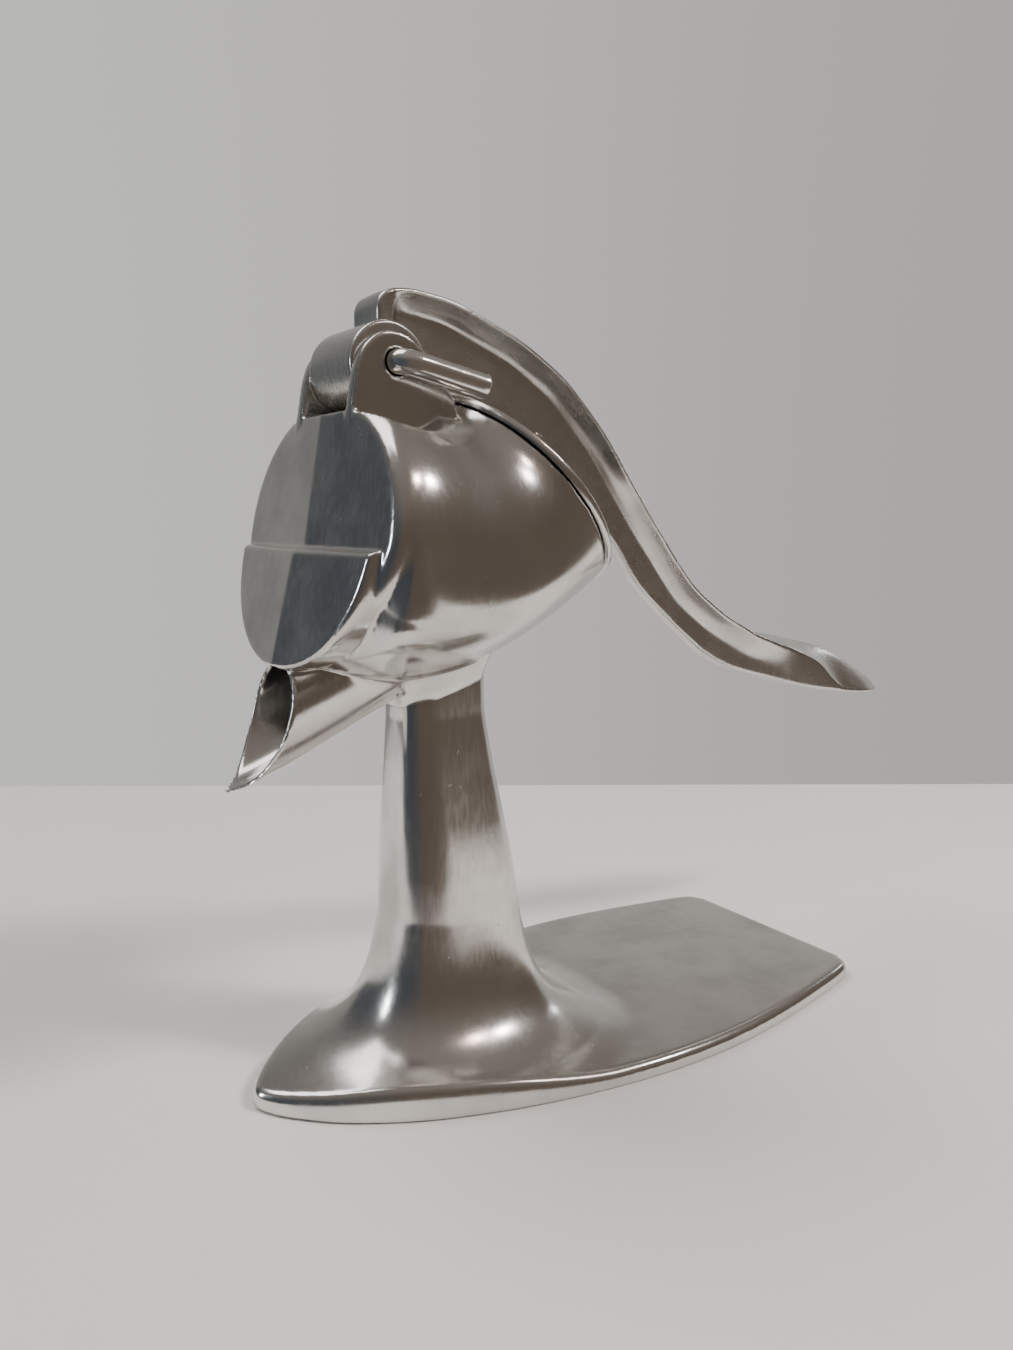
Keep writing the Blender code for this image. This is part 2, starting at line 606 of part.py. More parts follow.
# ---- lever ------------------------------------------------------------------------------------
# top edge, lower edge, half width at the top, half width below, width of the sweep between, crown
LEVER = ((-80.8, 268.0, -80.4, 258.0, 8.2, 8.2, 8.0, 0.0),
         (-80.6, 273.0, -80.0, 252.0, 9.3, 9.3, 8.0, 0.0),
         (-78.6, 276.5, -78.0, 249.0, 9.5, 9.5, 8.0, 0.2),
         (-75.0, 278.2, -74.5, 247.5, 9.5, 8.4, 8.0, 0.4),
         (-71.5, 278.7, -71.0, 247.2, 9.5, 4.8, 8.0, 0.4),
         (-66.0, 278.8, -66.0, 246.8, 9.5, 3.2, 8.0, 0.4),
         (-52.0, 276.8, -54.0, 246.5, 9.5, 2.9, 8.0, 0.4),
         (-37.5, 271.9, -44.5, 245.0, 9.5, 2.9, 8.2, 0.4),
         (-23.0, 266.1, -32.0, 238.5, 9.5, 2.9, 8.2, 0.4),
         (-12.2, 260.1, -22.5, 234.0, 9.5, 2.9, 8.4, 0.4), (-2.5, 253.7, -13.5, 229.0, 9.5, 2.9, 8.5, 0.4),
         (7.0, 245.0, -5.5, 222.5, 9.5, 2.9, 8.6, 0.4), (18.7, 232.7, 4.5, 214.5, 9.5, 2.9, 9.4, 0.4),
         (30.3, 217.6, 16.0, 204.0, 9.5, 2.9, 11.0, 0.4), (42.4, 201.9, 28.5, 190.5, 9.5, 2.9, 12.0, 0.4),
         (49.2, 193.8, 36.5, 179.3, 9.5, 2.9, 12.7, 0.4), (56.1, 185.4, 44.0, 171.3, 9.5, 2.9, 13.6, 0.4),
         (67.5, 173.5, 58.0, 159.6, 9.6, 3.0, 15.0, 0.5), (84.0, 162.0, 76.0, 145.8, 9.9, 3.6, 17.0, 0.7),
         (96.2, 155.6, 89.5, 138.4, 10.3, 4.5, 17.5, 1.0),
         (105.0, 151.2, 100.5, 134.4, 10.7, 6.2, 17.0, 1.6),
         (117.0, 147.0, 114.0, 130.6, 11.2, 9.0, 16.0, 3.4),
         (131.0, 142.3, 130.0, 126.2, 11.8, 11.5, 15.0, 5.2),
         (145.5, 135.8, 145.0, 122.9, 12.0, 12.0, 12.0, 8.8),
         (156.0, 127.6, 156.0, 121.2, 11.8, 11.8, 6.0, 14.3),
         (165.0, 122.0, 165.0, 119.6, 11.0, 11.0, 3.0, 17.0),
         (176.0, 119.4, 176.0, 118.0, 9.6, 9.6, 2.0, 15.0),
         (188.0, 118.0, 188.0, 116.6, 7.4, 7.4, 2.0, 10.0),
         (197.0, 117.2, 197.0, 115.8, 4.6, 4.6, 2.0, 5.6),
         (203.4, 116.6, 203.4, 115.4, 1.6, 1.6, 2.0, 1.0))
RIM = 1.5                         # flat side of the lever's top flange
LEVER_CORNER = 0.9
SWEEP_STEPS = (0.0, 0.14, 0.30, 0.50, 0.73, 1.0)


def lever_side(top_y, top_z, low_y, low_z, half, low_half, sweep):
    """One side of the section, top down: a rim, a hollow sweep into the web, and the web's edge."""
    depth = math.hypot(top_y - low_y, top_z - low_z)
    rim = min(RIM, 0.25 * depth)
    corner = min(LEVER_CORNER, 0.4 * low_half, 0.2 * depth)
    reach = min(sweep, depth - rim - corner - 0.1)
    side = [(0.0, half - min(LEVER_CORNER, 0.4 * half)), (0.4 * rim, half)]
    side += [(rim + reach * step, low_half + (half - low_half) * (1.0 - step) ** 2) for step in SWEEP_STEPS]
    side += [(depth - corner, low_half), (depth, low_half - corner)]
    return [(x, top_y + (low_y - top_y) * down / depth, top_z + (low_z - top_z) * down / depth)
            for down, x in side]


def lever_beam():
    """A curved T-section beam whose flange sweeps hollow into the web, ending in a leaf-shaped grip."""
    rings = []
    for top_y, top_z, *rest, crown in LEVER:
        side = lever_side(top_y, top_z, *rest)
        edge = side[0][0]
        arch = [(edge * f, top_y, top_z + crown * (1.0 - f ** 1.4)) for f in (0.2, 0.45, 0.72)]
        ring = [(-x, y, z) for x, y, z in arch] + [(-x, y, z) for x, y, z in side]
        ring += list(reversed(side)) + list(reversed(arch))
        rings.append(ring)
    return loft("lever_casting", rings)


def lug(name, round_r, reach, half_width, x_low, x_high):
    """A lug rounded about the dome pin, whose straight root ends at the given distance from the lip."""
    away = math.copysign(1.0, DOME_PIN_N - reach)
    arc = [math.pi * i / 12 for i in range(13)]
    outline = [(round_r * math.cos(t), DOME_PIN_N + away * round_r * math.sin(t)) for t in arc]
    outline += [(-half_width, reach), (half_width, reach)]
    rings = [[tilted(x, a, n) for a, n in outline] for x in (x_low, x_high)]
    return loft(name, rings)


def dome_pin_rod(name, radius, half_length, chamfer=0.0):
    _, y, z = tilted(0.0, 0.0, DOME_PIN_N)
    return rod(name, radius, -half_length, half_length, y, z, 24, chamfer)


def build_lever():
    lever = lever_beam()
    half = SLOT_HALF - 0.5
    combine(lever, rod("knuckle", KNUCKLE_R, -half, half, sides=48, end_chamfer=0.8), "UNION")
    combine(lever, lug("lever_lug", 6.5, 25.0, 9.0, -LEVER_LUG_HALF, LEVER_LUG_HALF), "UNION")
    combine(lever, rod("bore", PIN_R + GAP, -30.0, 30.0), "DIFFERENCE")
    combine(lever, dome_pin_rod("cross_bore", DOME_PIN_R + GAP, 20.0), "DIFFERENCE")
    lever = finish(lever, (0.73, 0.72, 0.70), 1.0, 0.24)
    return move_origin(lever, (0.0, HINGE_Y, HINGE_Z))


def move_origin(obj, point):
    """Put the object's own origin on its joint axis without moving its surface."""
    shift = [c * MM for c in point]
    for vertex in obj.data.vertices:
        for i in range(3):
            vertex.co[i] -= shift[i]
    obj.location = shift
    return obj


# the dome's outside and its hollow back: inset from the full radius, height from the lip
DOME_SKIN = ((2.0, 1.5), (0.6, 1.5), (0.0, 0.6), (0.0, -4.0), (1.6, -11.0), (5.4, -18.0),
             (11.0, -24.0), (18.5, -28.6), (25.0, -30.6), (30.5, -31.4))
DOME_HOLLOW = ((4.4, 4.0), (4.4, -6.0), (9.0, -15.0), (18.0, -22.0), (30.1, -25.0))


def build_dome():
    """The hollow-backed pressing dome, hung on its pin by two lugs."""
    dome = turned("press_dome", [(DOME_R - inset, n) for inset, n in DOME_SKIN], tilted, 40)
    hollow = turned("hollow", [(DOME_R - inset, n) for inset, n in DOME_HOLLOW], tilted, 40)
    combine(dome, hollow, "DIFFERENCE")
    for low, high in both_sides(LEVER_LUG_HALF + 0.5, DOME_LUG_OUT):
        combine(dome, lug("dome_lug", 6.0, -26.5, 8.0, low, high), "UNION")
    combine(dome, dome_pin_rod("cross_bore", DOME_PIN_R + GAP, 20.0), "DIFFERENCE")
    dome = finish(dome, (0.74, 0.74, 0.73), 1.0, 0.26)
    return move_origin(dome, tilted(0.0, 0.0, DOME_PIN_N))


def build_dome_pin():
    """A plain rivet with low round heads outside the dome's lugs."""
    _, y, z = tilted(0.0, 0.0, DOME_PIN_N)
    head = DOME_LUG_OUT + 0.3
    half = ((head + 2.1, 2.6), (head + 1.6, 4.2), (head + 0.1, 4.6), (head, DOME_PIN_R))
    stations = [(-x, radius) for x, radius in half] + list(reversed(half))
    turn = [2 * math.pi * i / 24 for i in range(24)]
    rings = [[(x, y + radius * math.cos(t), z + radius * math.sin(t)) for t in turn]
             for x, radius in stations]
    return finish(loft("dome_pin", rings), (0.62, 0.62, 0.61), 1.0, 0.25)


# ---- hinge pin --------------------------------------------------------------------------------
def build_hinge_pin():
    """A bent steel rod: straight through both ears, then a leg that serves as its handle."""
    bend = [(22.6, HINGE_Y, HINGE_Z), (24.6, -79.9, 252.4), (26.2, -77.9, 252.0), (27.0, -74.6, 251.2)]
    path = [(-24.0, HINGE_Y, HINGE_Z), (-23.4, HINGE_Y, HINGE_Z)] + bend + [(30.2, -51.9, 245.7)]
    path = np.array(path)
    rings = []
    for i, point in enumerate(path):
        ahead = path[min(i + 1, len(path) - 1)] - point
        behind = point - path[max(i - 1, 0)]
        along = ahead / (np.linalg.norm(ahead) + 1e-9) + behind / (np.linalg.norm(behind) + 1e-9)
        along /= np.linalg.norm(along)
        up = np.array([0.0, 0.0, 1.0]) - along[2] * along
        up /= np.linalg.norm(up)
        side = np.cross(along, up)
        radius = PIN_R - (0.6 if i == 0 else 0.0)
        turn = [2 * math.pi * k / 32 for k in range(32)]
        rings.append([tuple(point + radius * (math.cos(t) * side + math.sin(t) * up)) for t in turn])
    pin = finish(loft("hinge_pin", rings), (0.80, 0.80, 0.80), 1.0, 0.12)
    return move_origin(pin, (0.0, HINGE_Y, HINGE_Z))


# ---- head bolt --------------------------------------------------------------------------------
def ring_piece(name, radius, top, thick):
    """A flat ring round the head bolt."""
    ring = turned(name, ((radius, top - thick), (radius, top)), upright(SEAT_Y), 36)
    return combine(ring, drill(SEAT_Y, BOLT_R + GAP, top - thick - 2.0, top + 2.0), "DIFFERENCE")


def build_fasteners():
    """The bolt that holds the head down, with its flat washer and split spring washer."""
    washer_top = SHELF_Z - GAP
    finish(ring_piece("bolt_washer", 8.0, washer_top, WASHER), (0.55, 0.55, 0.55), 1.0, 0.35)
    spring_top = washer_top - WASHER - GAP
    spring = ring_piece("spring_washer", 6.8, spring_top, SPRING)
    low, high = spring_top - SPRING - 2.0, spring_top + 2.0
    slit = [(SEAT_Y - 9.0, low), (SEAT_Y - 2.0, low), (SEAT_Y - 2.0, high), (SEAT_Y - 9.0, high)]
    combine(spring, prism("slit", slit, -0.6, 0.6), "DIFFERENCE")
    finish(spring, (0.5, 0.5, 0.5), 1.0, 0.35)
    head_top = spring_top - SPRING - GAP
    bolt = turned("head_bolt", ((7.5, head_top - 5.3), (7.5, head_top)), upright(SEAT_Y), 6)
    shank = ((BOLT_R, head_top - 3.0), (BOLT_R, SEAT_Z + 3.6), (BOLT_R - 1.0, SEAT_Z + 4.6))
    combine(bolt, turned("shank", shank, upright(SEAT_Y), 24), "UNION")
    return finish(bolt, (0.5, 0.5, 0.5), 1.0, 0.35)


def main():
    for old in list(bpy.data.objects):
        bpy.data.objects.remove(old)
    build_stand()
    build_head()
    build_strainer()
    build_lever()
    build_dome()
    build_dome_pin()
    build_hinge_pin()
    build_fasteners()


main()
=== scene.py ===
"""Looks for the lever citrus press: fine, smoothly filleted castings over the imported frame, with
polished and satin metal, on a pale floor under soft light.  Millimetres inside, metres outside."""
import math

import bmesh
import bpy
import numpy as np
from mathutils import Matrix, Vector


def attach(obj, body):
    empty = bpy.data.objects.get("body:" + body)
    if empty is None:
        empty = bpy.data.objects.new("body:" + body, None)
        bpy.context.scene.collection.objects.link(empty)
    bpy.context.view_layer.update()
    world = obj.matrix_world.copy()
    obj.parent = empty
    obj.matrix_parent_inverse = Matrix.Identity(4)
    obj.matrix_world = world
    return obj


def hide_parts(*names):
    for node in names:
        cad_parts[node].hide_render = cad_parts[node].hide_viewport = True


MM = 0.001

# ---- driving dimensions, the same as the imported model's, in millimetres ------------------------
LIP_R = 45.0
LIP_Y = -24.0
LIP_Z = 210.5
LIP_TILT = math.radians(47.0)
COS_T = math.cos(LIP_TILT)
SIN_T = math.sin(LIP_TILT)
PIN_R = 4.05
GAP = 0.3
SEAM = 0.06                       # half the gap shown where the head sits on the pillar
HINGE_Y = -80.6
HINGE_Z = 252.6
KNUCKLE_R = 14.0
KNUCKLE_ROOM = 1.2
POCKET_R = 22.5
SLOT_HALF = 17.0
EAR_OUT = 22.0
FRONT_HALF = 55.0
FRONT_HALF_HEIGHT = 42.0
FRONT_Z = 196.0
EDGE_ROLL = 4.5
SIDE_BULGE = 8.8
UPPER_FACE_Y = -104.94            # the front face's two parts, at the height FRONT_Z
LOWER_FACE_Y = -108.44
UPPER_LEAN = 0.1736               # how far each part leans forward towards its foot
LOWER_LEAN = 0.244
FOLD = 0.038                      # slope away from the middle fold
TUCK = 7.0                        # how far the border is drawn in behind the proud lower part
FRONT_POWER = 2.15                # roundness of the front's oval
MOUTH_R = 16.6
MOUTH_Z = 140.0
MOUTH_TIP_Z = 114.1
SPOUT_WALL = 1.7
SPOUT_SIDES = 96
SEAT_Y = -56.0
SEAT_Z = 141.2
SEAT_SLOPE = 0.27
SEAT_SPARE = 4.0                  # extra length before the castings are cut at the seat
SEAT_BLOCK = 30.0                 # half width of the block that makes that cut
NECK_Z = 134.0                    # the pillar's section at this height is carried on up the neck
SPIGOT_R = 8.5                    # the head's round spigot sits in a socket in the pillar's top
SPIGOT_DEPTH = 14.0
BOLT_HOLE_R = 4.3
DOME_R = 31.5
DOME_PIN_N = 13.0
DOME_PIN_R = 3.2
LEVER_LUG_HALF = 6.0
DOME_LUG_OUT = 11.0
DECK_Z = 6.4
BASE_EDGE_Z = 2.6
BASE_ROLL = 3.4
FOOT_Z = 60.0
FLARE_K = 510.0
FLARE_C = 8.4
FLARE_REACH = 46.0
FLARE_REACH_AHEAD = 14.0
PILLAR_POWER = 3.0
ROUND = 160                       # sides of the large round pieces

# base outline: distance along Y, half width
BASE = ((-130.7, 0.0), (-129.6, 4.2), (-124.0, 12.6), (-112.0, 24.6), (-96.0, 35.6),
        (-78.4, 44.6), (-52.0, 54.2), (-26.2, 60.6), (0.0, 64.8), (26.1, 66.3),
        (52.0, 65.2), (78.4, 61.6), (102.0, 57.0), (120.0, 52.8), (127.0, 49.0), (130.6, 42.0))
# pillar sections from the top down: height, middle Y, half width, half length
PILLAR = ((146.0, -56.4, 12.5, 16.6), (134.0, -55.8, 13.2, 17.6), (112.0, -54.6, 14.9, 20.0),
          (90.0, -53.0, 17.0, 23.0), (72.0, -51.7, 18.6, 25.2), (60.0, -50.8, 19.5, 26.4))


# ---- mesh helpers -------------------------------------------------------------------------------
def tilted(x, a, n):
    """A point given across the lip, down the lip's plane and out along the lip's normal."""
    return (x, LIP_Y + a * COS_T + n * SIN_T, LIP_Z - a * SIN_T + n * COS_T)


def signed_power(value, power):
    return math.copysign(abs(value) ** power, value)


def oval(half_a, half_b, angle, power):
    """A point of an oval; power 2 is an ellipse, and more is squarer."""
    return (half_a * signed_power(math.cos(angle), 2.0 / power),
            half_b * signed_power(math.sin(angle), 2.0 / power))


def around(count):
    return [2 * math.pi * i / count for i in range(count)]


def table(rows, key):
    """The other columns of a table of rows, read at a value of its first column."""
    rows = sorted(rows)
    keys = [row[0] for row in rows]
    return [float(np.interp(key, keys, [row[i] for row in rows])) for i in range(1, len(rows[0]))]


def smooth_curve(points, count):
    """Points evenly spaced along a smooth curve through the given ones."""
    pts = np.array(points, float)
    padded = np.vstack([2 * pts[0] - pts[1], pts, 2 * pts[-1] - pts[-2]])
    dense = []
    for i in range(len(pts) - 1):
        p0, p1, p2, p3 = padded[i:i + 4]
        for t in np.linspace(0.0, 1.0, 24, endpoint=False):
            dense.append(0.5 * (2 * p1 + (p2 - p0) * t + (2 * p0 - 5 * p1 + 4 * p2 - p3) * t * t
                                + (3 * p1 - p0 - 3 * p2 + p3) * t ** 3))
    dense.append(pts[-1])
    dense = np.array(dense)
    run = np.concatenate([[0.0], np.cumsum(np.linalg.norm(np.diff(dense, axis=0), axis=1))])
    want = np.linspace(0.0, run[-1], count)
    return np.stack([np.interp(want, run, dense[:, i]) for i in range(dense.shape[1])], axis=1)


def make_object(name, points, faces):
    mesh = bpy.data.meshes.new(name)
    mesh.from_pydata([tuple(c * MM for c in p) for p in points], [], faces)
    mesh.validate()
    obj = bpy.data.objects.new(name, mesh)
    bpy.context.scene.collection.objects.link(obj)
    skin = bmesh.new()
    skin.from_mesh(mesh)
    if skin.calc_volume(signed=True) < 0.0:
        bmesh.ops.reverse_faces(skin, faces=skin.faces)
    skin.to_mesh(mesh)
    skin.free()
    return obj


def loft(name, rings):
    """A closed skin through rings of equal point count."""
    count = len(rings[0])
    faces = []
    for i in range(len(rings) - 1):
        for j in range(count):
            k = (j + 1) % count
            faces.append((i * count + j, i * count + k, (i + 1) * count + k, (i + 1) * count + j))
    last = (len(rings) - 1) * count
    faces.append(tuple(reversed(range(count))))
    faces.append(tuple(range(last, last + count)))
    return make_object(name, [p for ring in rings for p in ring], faces)


def prism(name, outline, x_low, x_high):
    return loft(name, [[(x, y, z) for y, z in outline] for x in (x_low, x_high)])


def rod(name, radius, x_low, x_high, y=HINGE_Y, z=HINGE_Z, chamfer=0.0):
    """A round bar along X, with optional rounded ends."""
    stations = [(x_low, radius), (x_high, radius)]
    if chamfer:
        steps = [math.pi / 2 * k / 5 for k in range(6)]
        ends = [(chamfer * (1 - math.sin(s)), chamfer * (1 - math.cos(s))) for s in steps]
        stations = [(x_low + inset, radius - trim) for inset, trim in reversed(ends)]
        stations = sorted(stations) + sorted((x_high - inset, radius - trim) for inset, trim in ends)
    rings = [[(x, y + r * math.cos(t), z + r * math.sin(t)) for t in around(96)] for x, r in stations]
    return loft(name, rings)


def turned(name, profile, place, sides=ROUND):
    """A solid of revolution; profile is (radius, height), place maps (x, a, height) to a point."""
    rings = [[place(r * math.cos(t), r * math.sin(t), h) for t in around(sides)] for r, h in profile]
    return loft(name, rings)


def upright(y):
    return lambda x, a, height: (x, y + a, height)


def combine(body, tool, operation):
    """Join or cut, and drop the tool."""
    step = body.modifiers.new("step", "BOOLEAN")
    step.operation = operation
    step.solver = "MANIFOLD"
    step.object = tool
    apply_all(body)
    bpy.data.objects.remove(tool)
    return body


def apply_all(obj):
    """Bake the object's modifiers into its mesh."""
    bpy.context.view_layer.update()
    graph = bpy.context.evaluated_depsgraph_get()
    mesh = bpy.data.meshes.new_from_object(obj.evaluated_get(graph))
    obj.modifiers.clear()
    obj.data = mesh
    return obj


def cast_surface(obj, cell, passes, softer=None):
    """Give a sharp solid a casting's small even fillets: a fine even skin, then light smoothing.
    softer, when given, tells how strongly each point (in millimetres) takes an extra smoothing."""
    grid = obj.modifiers.new("grid", "REMESH")
    grid.mode = "VOXEL"
    grid.voxel_size = cell * MM
    apply_all(obj)
    relax = obj.modifiers.new("relax", "SMOOTH")
    relax.factor = 0.5
    relax.iterations = passes
    if softer:
        points = np.empty(len(obj.data.vertices) * 3)
        obj.data.vertices.foreach_get("co", points)
        weights = softer(points.reshape(-1, 3) / MM)
        group = obj.vertex_groups.new(name="softer")
        for level in range(1, 11):
            chosen = np.nonzero(np.round(weights * 10) == level)[0]
            group.add([int(i) for i in chosen], level / 10.0, "REPLACE")
        extra = obj.modifiers.new("extra", "SMOOTH")
        extra.factor = 0.5
        extra.iterations = passes * 8
        extra.vertex_group = "softer"
    apply_all(obj)
    return obj


def shade(obj, material, angle=None):
    obj.data.materials.clear()
    obj.data.materials.append(material)
    obj.data.shade_smooth()
    if angle:
        obj.data.set_sharp_from_angle(angle=math.radians(angle))
    return obj


def both_sides(near, far):
    return [tuple(sorted((side * near, side * far))) for side in (-1.0, 1.0)]


# ---- stand --------------------------------------------------------------------------------------
def base_outline(inset=0.0, count=240):
    """The base's plan outline, front tip first, evenly spaced."""
    right = [(w, y) for y, w in BASE]
    left = [(-w, y) for y, w in reversed(BASE)]
    loop = smooth_curve(right, count // 2)[:-1]
    loop = np.vstack([loop, np.array([right[-1]]), smooth_curve(left, count // 2)[:-1]])
    if inset:
        along = np.roll(loop, -1, axis=0) - np.roll(loop, 1, axis=0)
        normal = np.stack([along[:, 1], -along[:, 0]], axis=1)
        normal /= np.linalg.norm(normal, axis=1)[:, None] + 1e-9
        outward = np.sum(normal * (loop - np.array([0.0, 10.0])), axis=1) > 0
        normal[~outward] *= -1
        loop = loop - normal * inset
    return loop


def pillar_section(z, plan):
    """The pillar's outline at a height, its points facing the same way as the base outline's."""
    middle, half_x, half_y = table(PILLAR, z)
    ring = []
    for x, y in plan:
        angle = math.atan2((y + 50.0) / 80.0, x / 62.0)
        ox, oy = oval(half_x, half_y, angle, PILLAR_POWER)
        ring.append((ox, middle + oy))
    return ring


def flare_height(x, y):
    """Height of the stand's upper skin, outside the pillar's foot."""
    middle, half_x, half_y = table(PILLAR, FOOT_Z)
    dy = y - middle
    gauge = (abs(x / half_x) ** 3 + abs(dy / half_y) ** 3) ** (1 / 3)
    reach = math.hypot(x, dy)
    away = max(0.0, reach * (1.0 - 1.0 / max(gauge, 1.0)))
    ahead = max(0.0, -dy / max(reach, 1e-6)) ** 4
    limit = FLARE_REACH + FLARE_REACH_AHEAD * ahead
    rise = FLARE_K / (away + FLARE_C) - FLARE_K / (limit + FLARE_C)
    return DECK_Z + max(0.0, rise) * min(1.0, max(0.0, (limit - away) / 14.0)) ** 0.5


def stand_skin():
    """Rings from the underside over the rolled edge and the flare to the pillar's top."""
    plan = base_outline()
    foot = pillar_section(FOOT_Z, plan)
    inner = base_outline(BASE_ROLL)
    tops = [flare_height(x, y) for x, y in inner]
    rings = [[(x, y, 0.0) for x, y in base_outline(0.5)]]
    rings += [[(x, y, z) for x, y in plan] for z in (0.4, BASE_EDGE_Z)]
    for share in (0.2, 0.4, 0.6, 0.8):
        turn = share * math.pi / 2
        rolled = base_outline(BASE_ROLL * (1 - math.cos(turn)))
        rings.append([(x, y, BASE_EDGE_Z + (top - BASE_EDGE_Z) * math.sin(turn))
                      for (x, y), top in zip(rolled, tops)])
    for step in np.linspace(1.0, 0.0, 60)[:-1]:
        share = step ** 1.5
        ring = []
        for (ex, ey), (fx, fy) in zip(inner, foot):
            x = fx + (ex - fx) * share
            y = fy + (ey - fy) * share
            ring.append((x, y, flare_height(x, y)))
        rings.append(ring)
    for z in np.linspace(FOOT_Z + 9.0, 132.0, 18):
        rings.append([(x, y, float(z)) for x, y in pillar_section(z, plan)])
    seat = pillar_section(NECK_Z, plan)
    rings.append([(x, y, SEAT_Z + SEAT_SLOPE * (y - SEAT_Y) + SEAT_SPARE) for x, y in seat])
    return rings


def seat_block(above, gap):
    """Everything above, or below, the sloping seat at the pillar's top, within the neck's width."""
    half = SEAT_BLOCK
    rings = []
    for rise in (gap, 40.0 if above else -40.0):
        rings.append([(x, SEAT_Y + y, SEAT_Z + SEAT_SLOPE * y + rise)
                      for x, y in ((-half, -half), (half, -half), (half, half), (-half, half))])
    return loft("seat", rings)


def foot_hollow():
    """The open hollow under the foot, up to the shelf the head bolt pulls against."""
    rings = [[(hx * math.cos(t), -51.0 + hy * math.sin(t), z) for t in around(96)]
             for z, hx, hy in ((-1.0, 35.0, 40.0), (6.0, 34.0, 39.0), (12.0, 31.5, 37.0),
                               (20.0, 26.0, 32.0), (30.0, 21.0, 27.0), (42.0, 17.3, 23.6))]
    for z in (FOOT_Z, 84.0, 108.0):
        middle, half_x, half_y = table(PILLAR, z)
        ring = [oval(half_x - 4.5, half_y - 4.5, t, PILLAR_POWER) for t in around(96)]
        rings.append([(x, middle + y, z) for x, y in ring])
    return loft("hollow", rings)


def build_stand(material):
    """The foot and pillar, hollow below, with the socket and the bolt's hole in its top."""
    stand = loft("stand", stand_skin())
    combine(stand, foot_hollow(), "DIFFERENCE")
    cast_surface(stand, 0.75, 6)
    combine(stand, seat_block(True, -SEAM), "DIFFERENCE")
    socket_floor = SEAT_Z - SPIGOT_DEPTH - GAP
    for radius, low, high in ((SPIGOT_R + GAP, socket_floor, 161.0), (BOLT_HOLE_R, 103.0, 139.0)):
        combine(stand, turned("bore", ((radius, low), (radius, high)), upright(SEAT_Y), 64), "DIFFERENCE")
    return shade(stand, material, 50.0)


# ---- head ---------------------------------------------------------------------------------------
def upper_face_y(x, z):
    """The set-back upper part of the front face: a very shallow fold about the middle."""
    return UPPER_FACE_Y - (FRONT_Z - z) * UPPER_LEAN + abs(x) * FOLD


def lower_face_y(x, z):
    """The lower part of the front face, standing proud of the upper one."""
    return LOWER_FACE_Y - (FRONT_Z - z) * LOWER_LEAN + abs(x) * FOLD


def front_outline(angle, grow):
    """The front face's oval; below the ledge it is tucked in behind the proud plate."""
    tuck = TUCK * min(1.0, max(0.0, -math.sin(angle) * 2.2))
    x, z = oval(FRONT_HALF + grow - tuck, FRONT_HALF_HEIGHT + grow - 0.6 * tuck, angle, FRONT_POWER)
    return x, FRONT_Z + z


def side_bulge(share, turn):
    """How far the bowl's side swells outwards, most of it a little below the middle."""
    slant = math.degrees(math.atan2(math.sin(turn), abs(math.cos(turn))))
    return SIDE_BULGE * math.sin(math.pi * share ** 0.4) * math.exp(-((slant + 30.0) / 20.0) ** 2)


def head_skin():
    """Front face, rounded border, then a smooth sweep back to the round lip."""
    turn = around(ROUND)
    rings = []
    for share in (0.03, 0.25, 0.5, 0.75, 1.0):
        flat = [front_outline(t, 0.0) for t in turn]
        flat = [(x * share, FRONT_Z + (z - FRONT_Z) * share) for x, z in flat]
        rings.append([(x, upper_face_y(x, z), z) for x, z in flat])
    for k in (0.2, 0.4, 0.6, 0.8, 1.0):
        roll = k * math.pi / 2
        edge = [front_outline(t, EDGE_ROLL * math.sin(roll)) for t in turn]
        drop = 1.2 * EDGE_ROLL * (1 - math.cos(roll))
        rings.append([(x, upper_face_y(x, z) + drop, z) for x, z in edge])
    start = np.array(rings[-1])
    lip = np.array([tilted(LIP_R * math.cos(t), -LIP_R * math.sin(t), 0.0) for t in turn])
    normal = np.array([0.0, SIN_T, COS_T])
    for s in np.linspace(0.03, 1.0, 40):
        h00 = 2 * s ** 3 - 3 * s ** 2 + 1
        h10 = s ** 3 - 2 * s ** 2 + s
        h01 = 1.0 - h00
        h11 = s ** 3 - s ** 2
        ring = []
        for i, t in enumerate(turn):
            below = max(0.0, -math.sin(t))
            reach = 0.95 * np.linalg.norm(lip[i] - start[i])
            tucked = min(1.0, below * 2.2)
            swell = 0.10 + 0.32 * below ** 2 + 0.20 * tucked * (1.0 - below)
            leave = np.array([swell * math.cos(t), 1.0, swell * math.sin(t)]) * reach
            outward = np.array([math.cos(t), -math.sin(t) * COS_T, math.sin(t) * SIN_T])
            arrive = (normal + 0.13 * outward) * reach * (1.0 + 0.18 * below)
            bulge = side_bulge(s, t) * np.array([math.cos(t), 0.0, math.sin(t)])
            ring.append(tuple(h00 * start[i] + h10 * leave + h01 * lip[i] + h11 * arrive + bulge))
        rings.append(ring)
    return loft("head", rings)


def lower_outline(grow):
    """The proud plate's outline: the lower half of an oval under a straight ledge."""
    turn = [math.pi + math.pi * i / 90 for i in range(91)]
    curve = [oval(FRONT_HALF - 3.0 + grow, FRONT_HALF_HEIGHT + grow, t, FRONT_POWER) for t in turn]
    ledge = FRONT_Z - 2.6 + grow
    loop = [(x, min(FRONT_Z + z, ledge)) for x, z in curve]
    loop += [(float(x), ledge) for x in np.linspace(loop[-1][0], loop[0][0], 60)[1:-1]]
    return loop


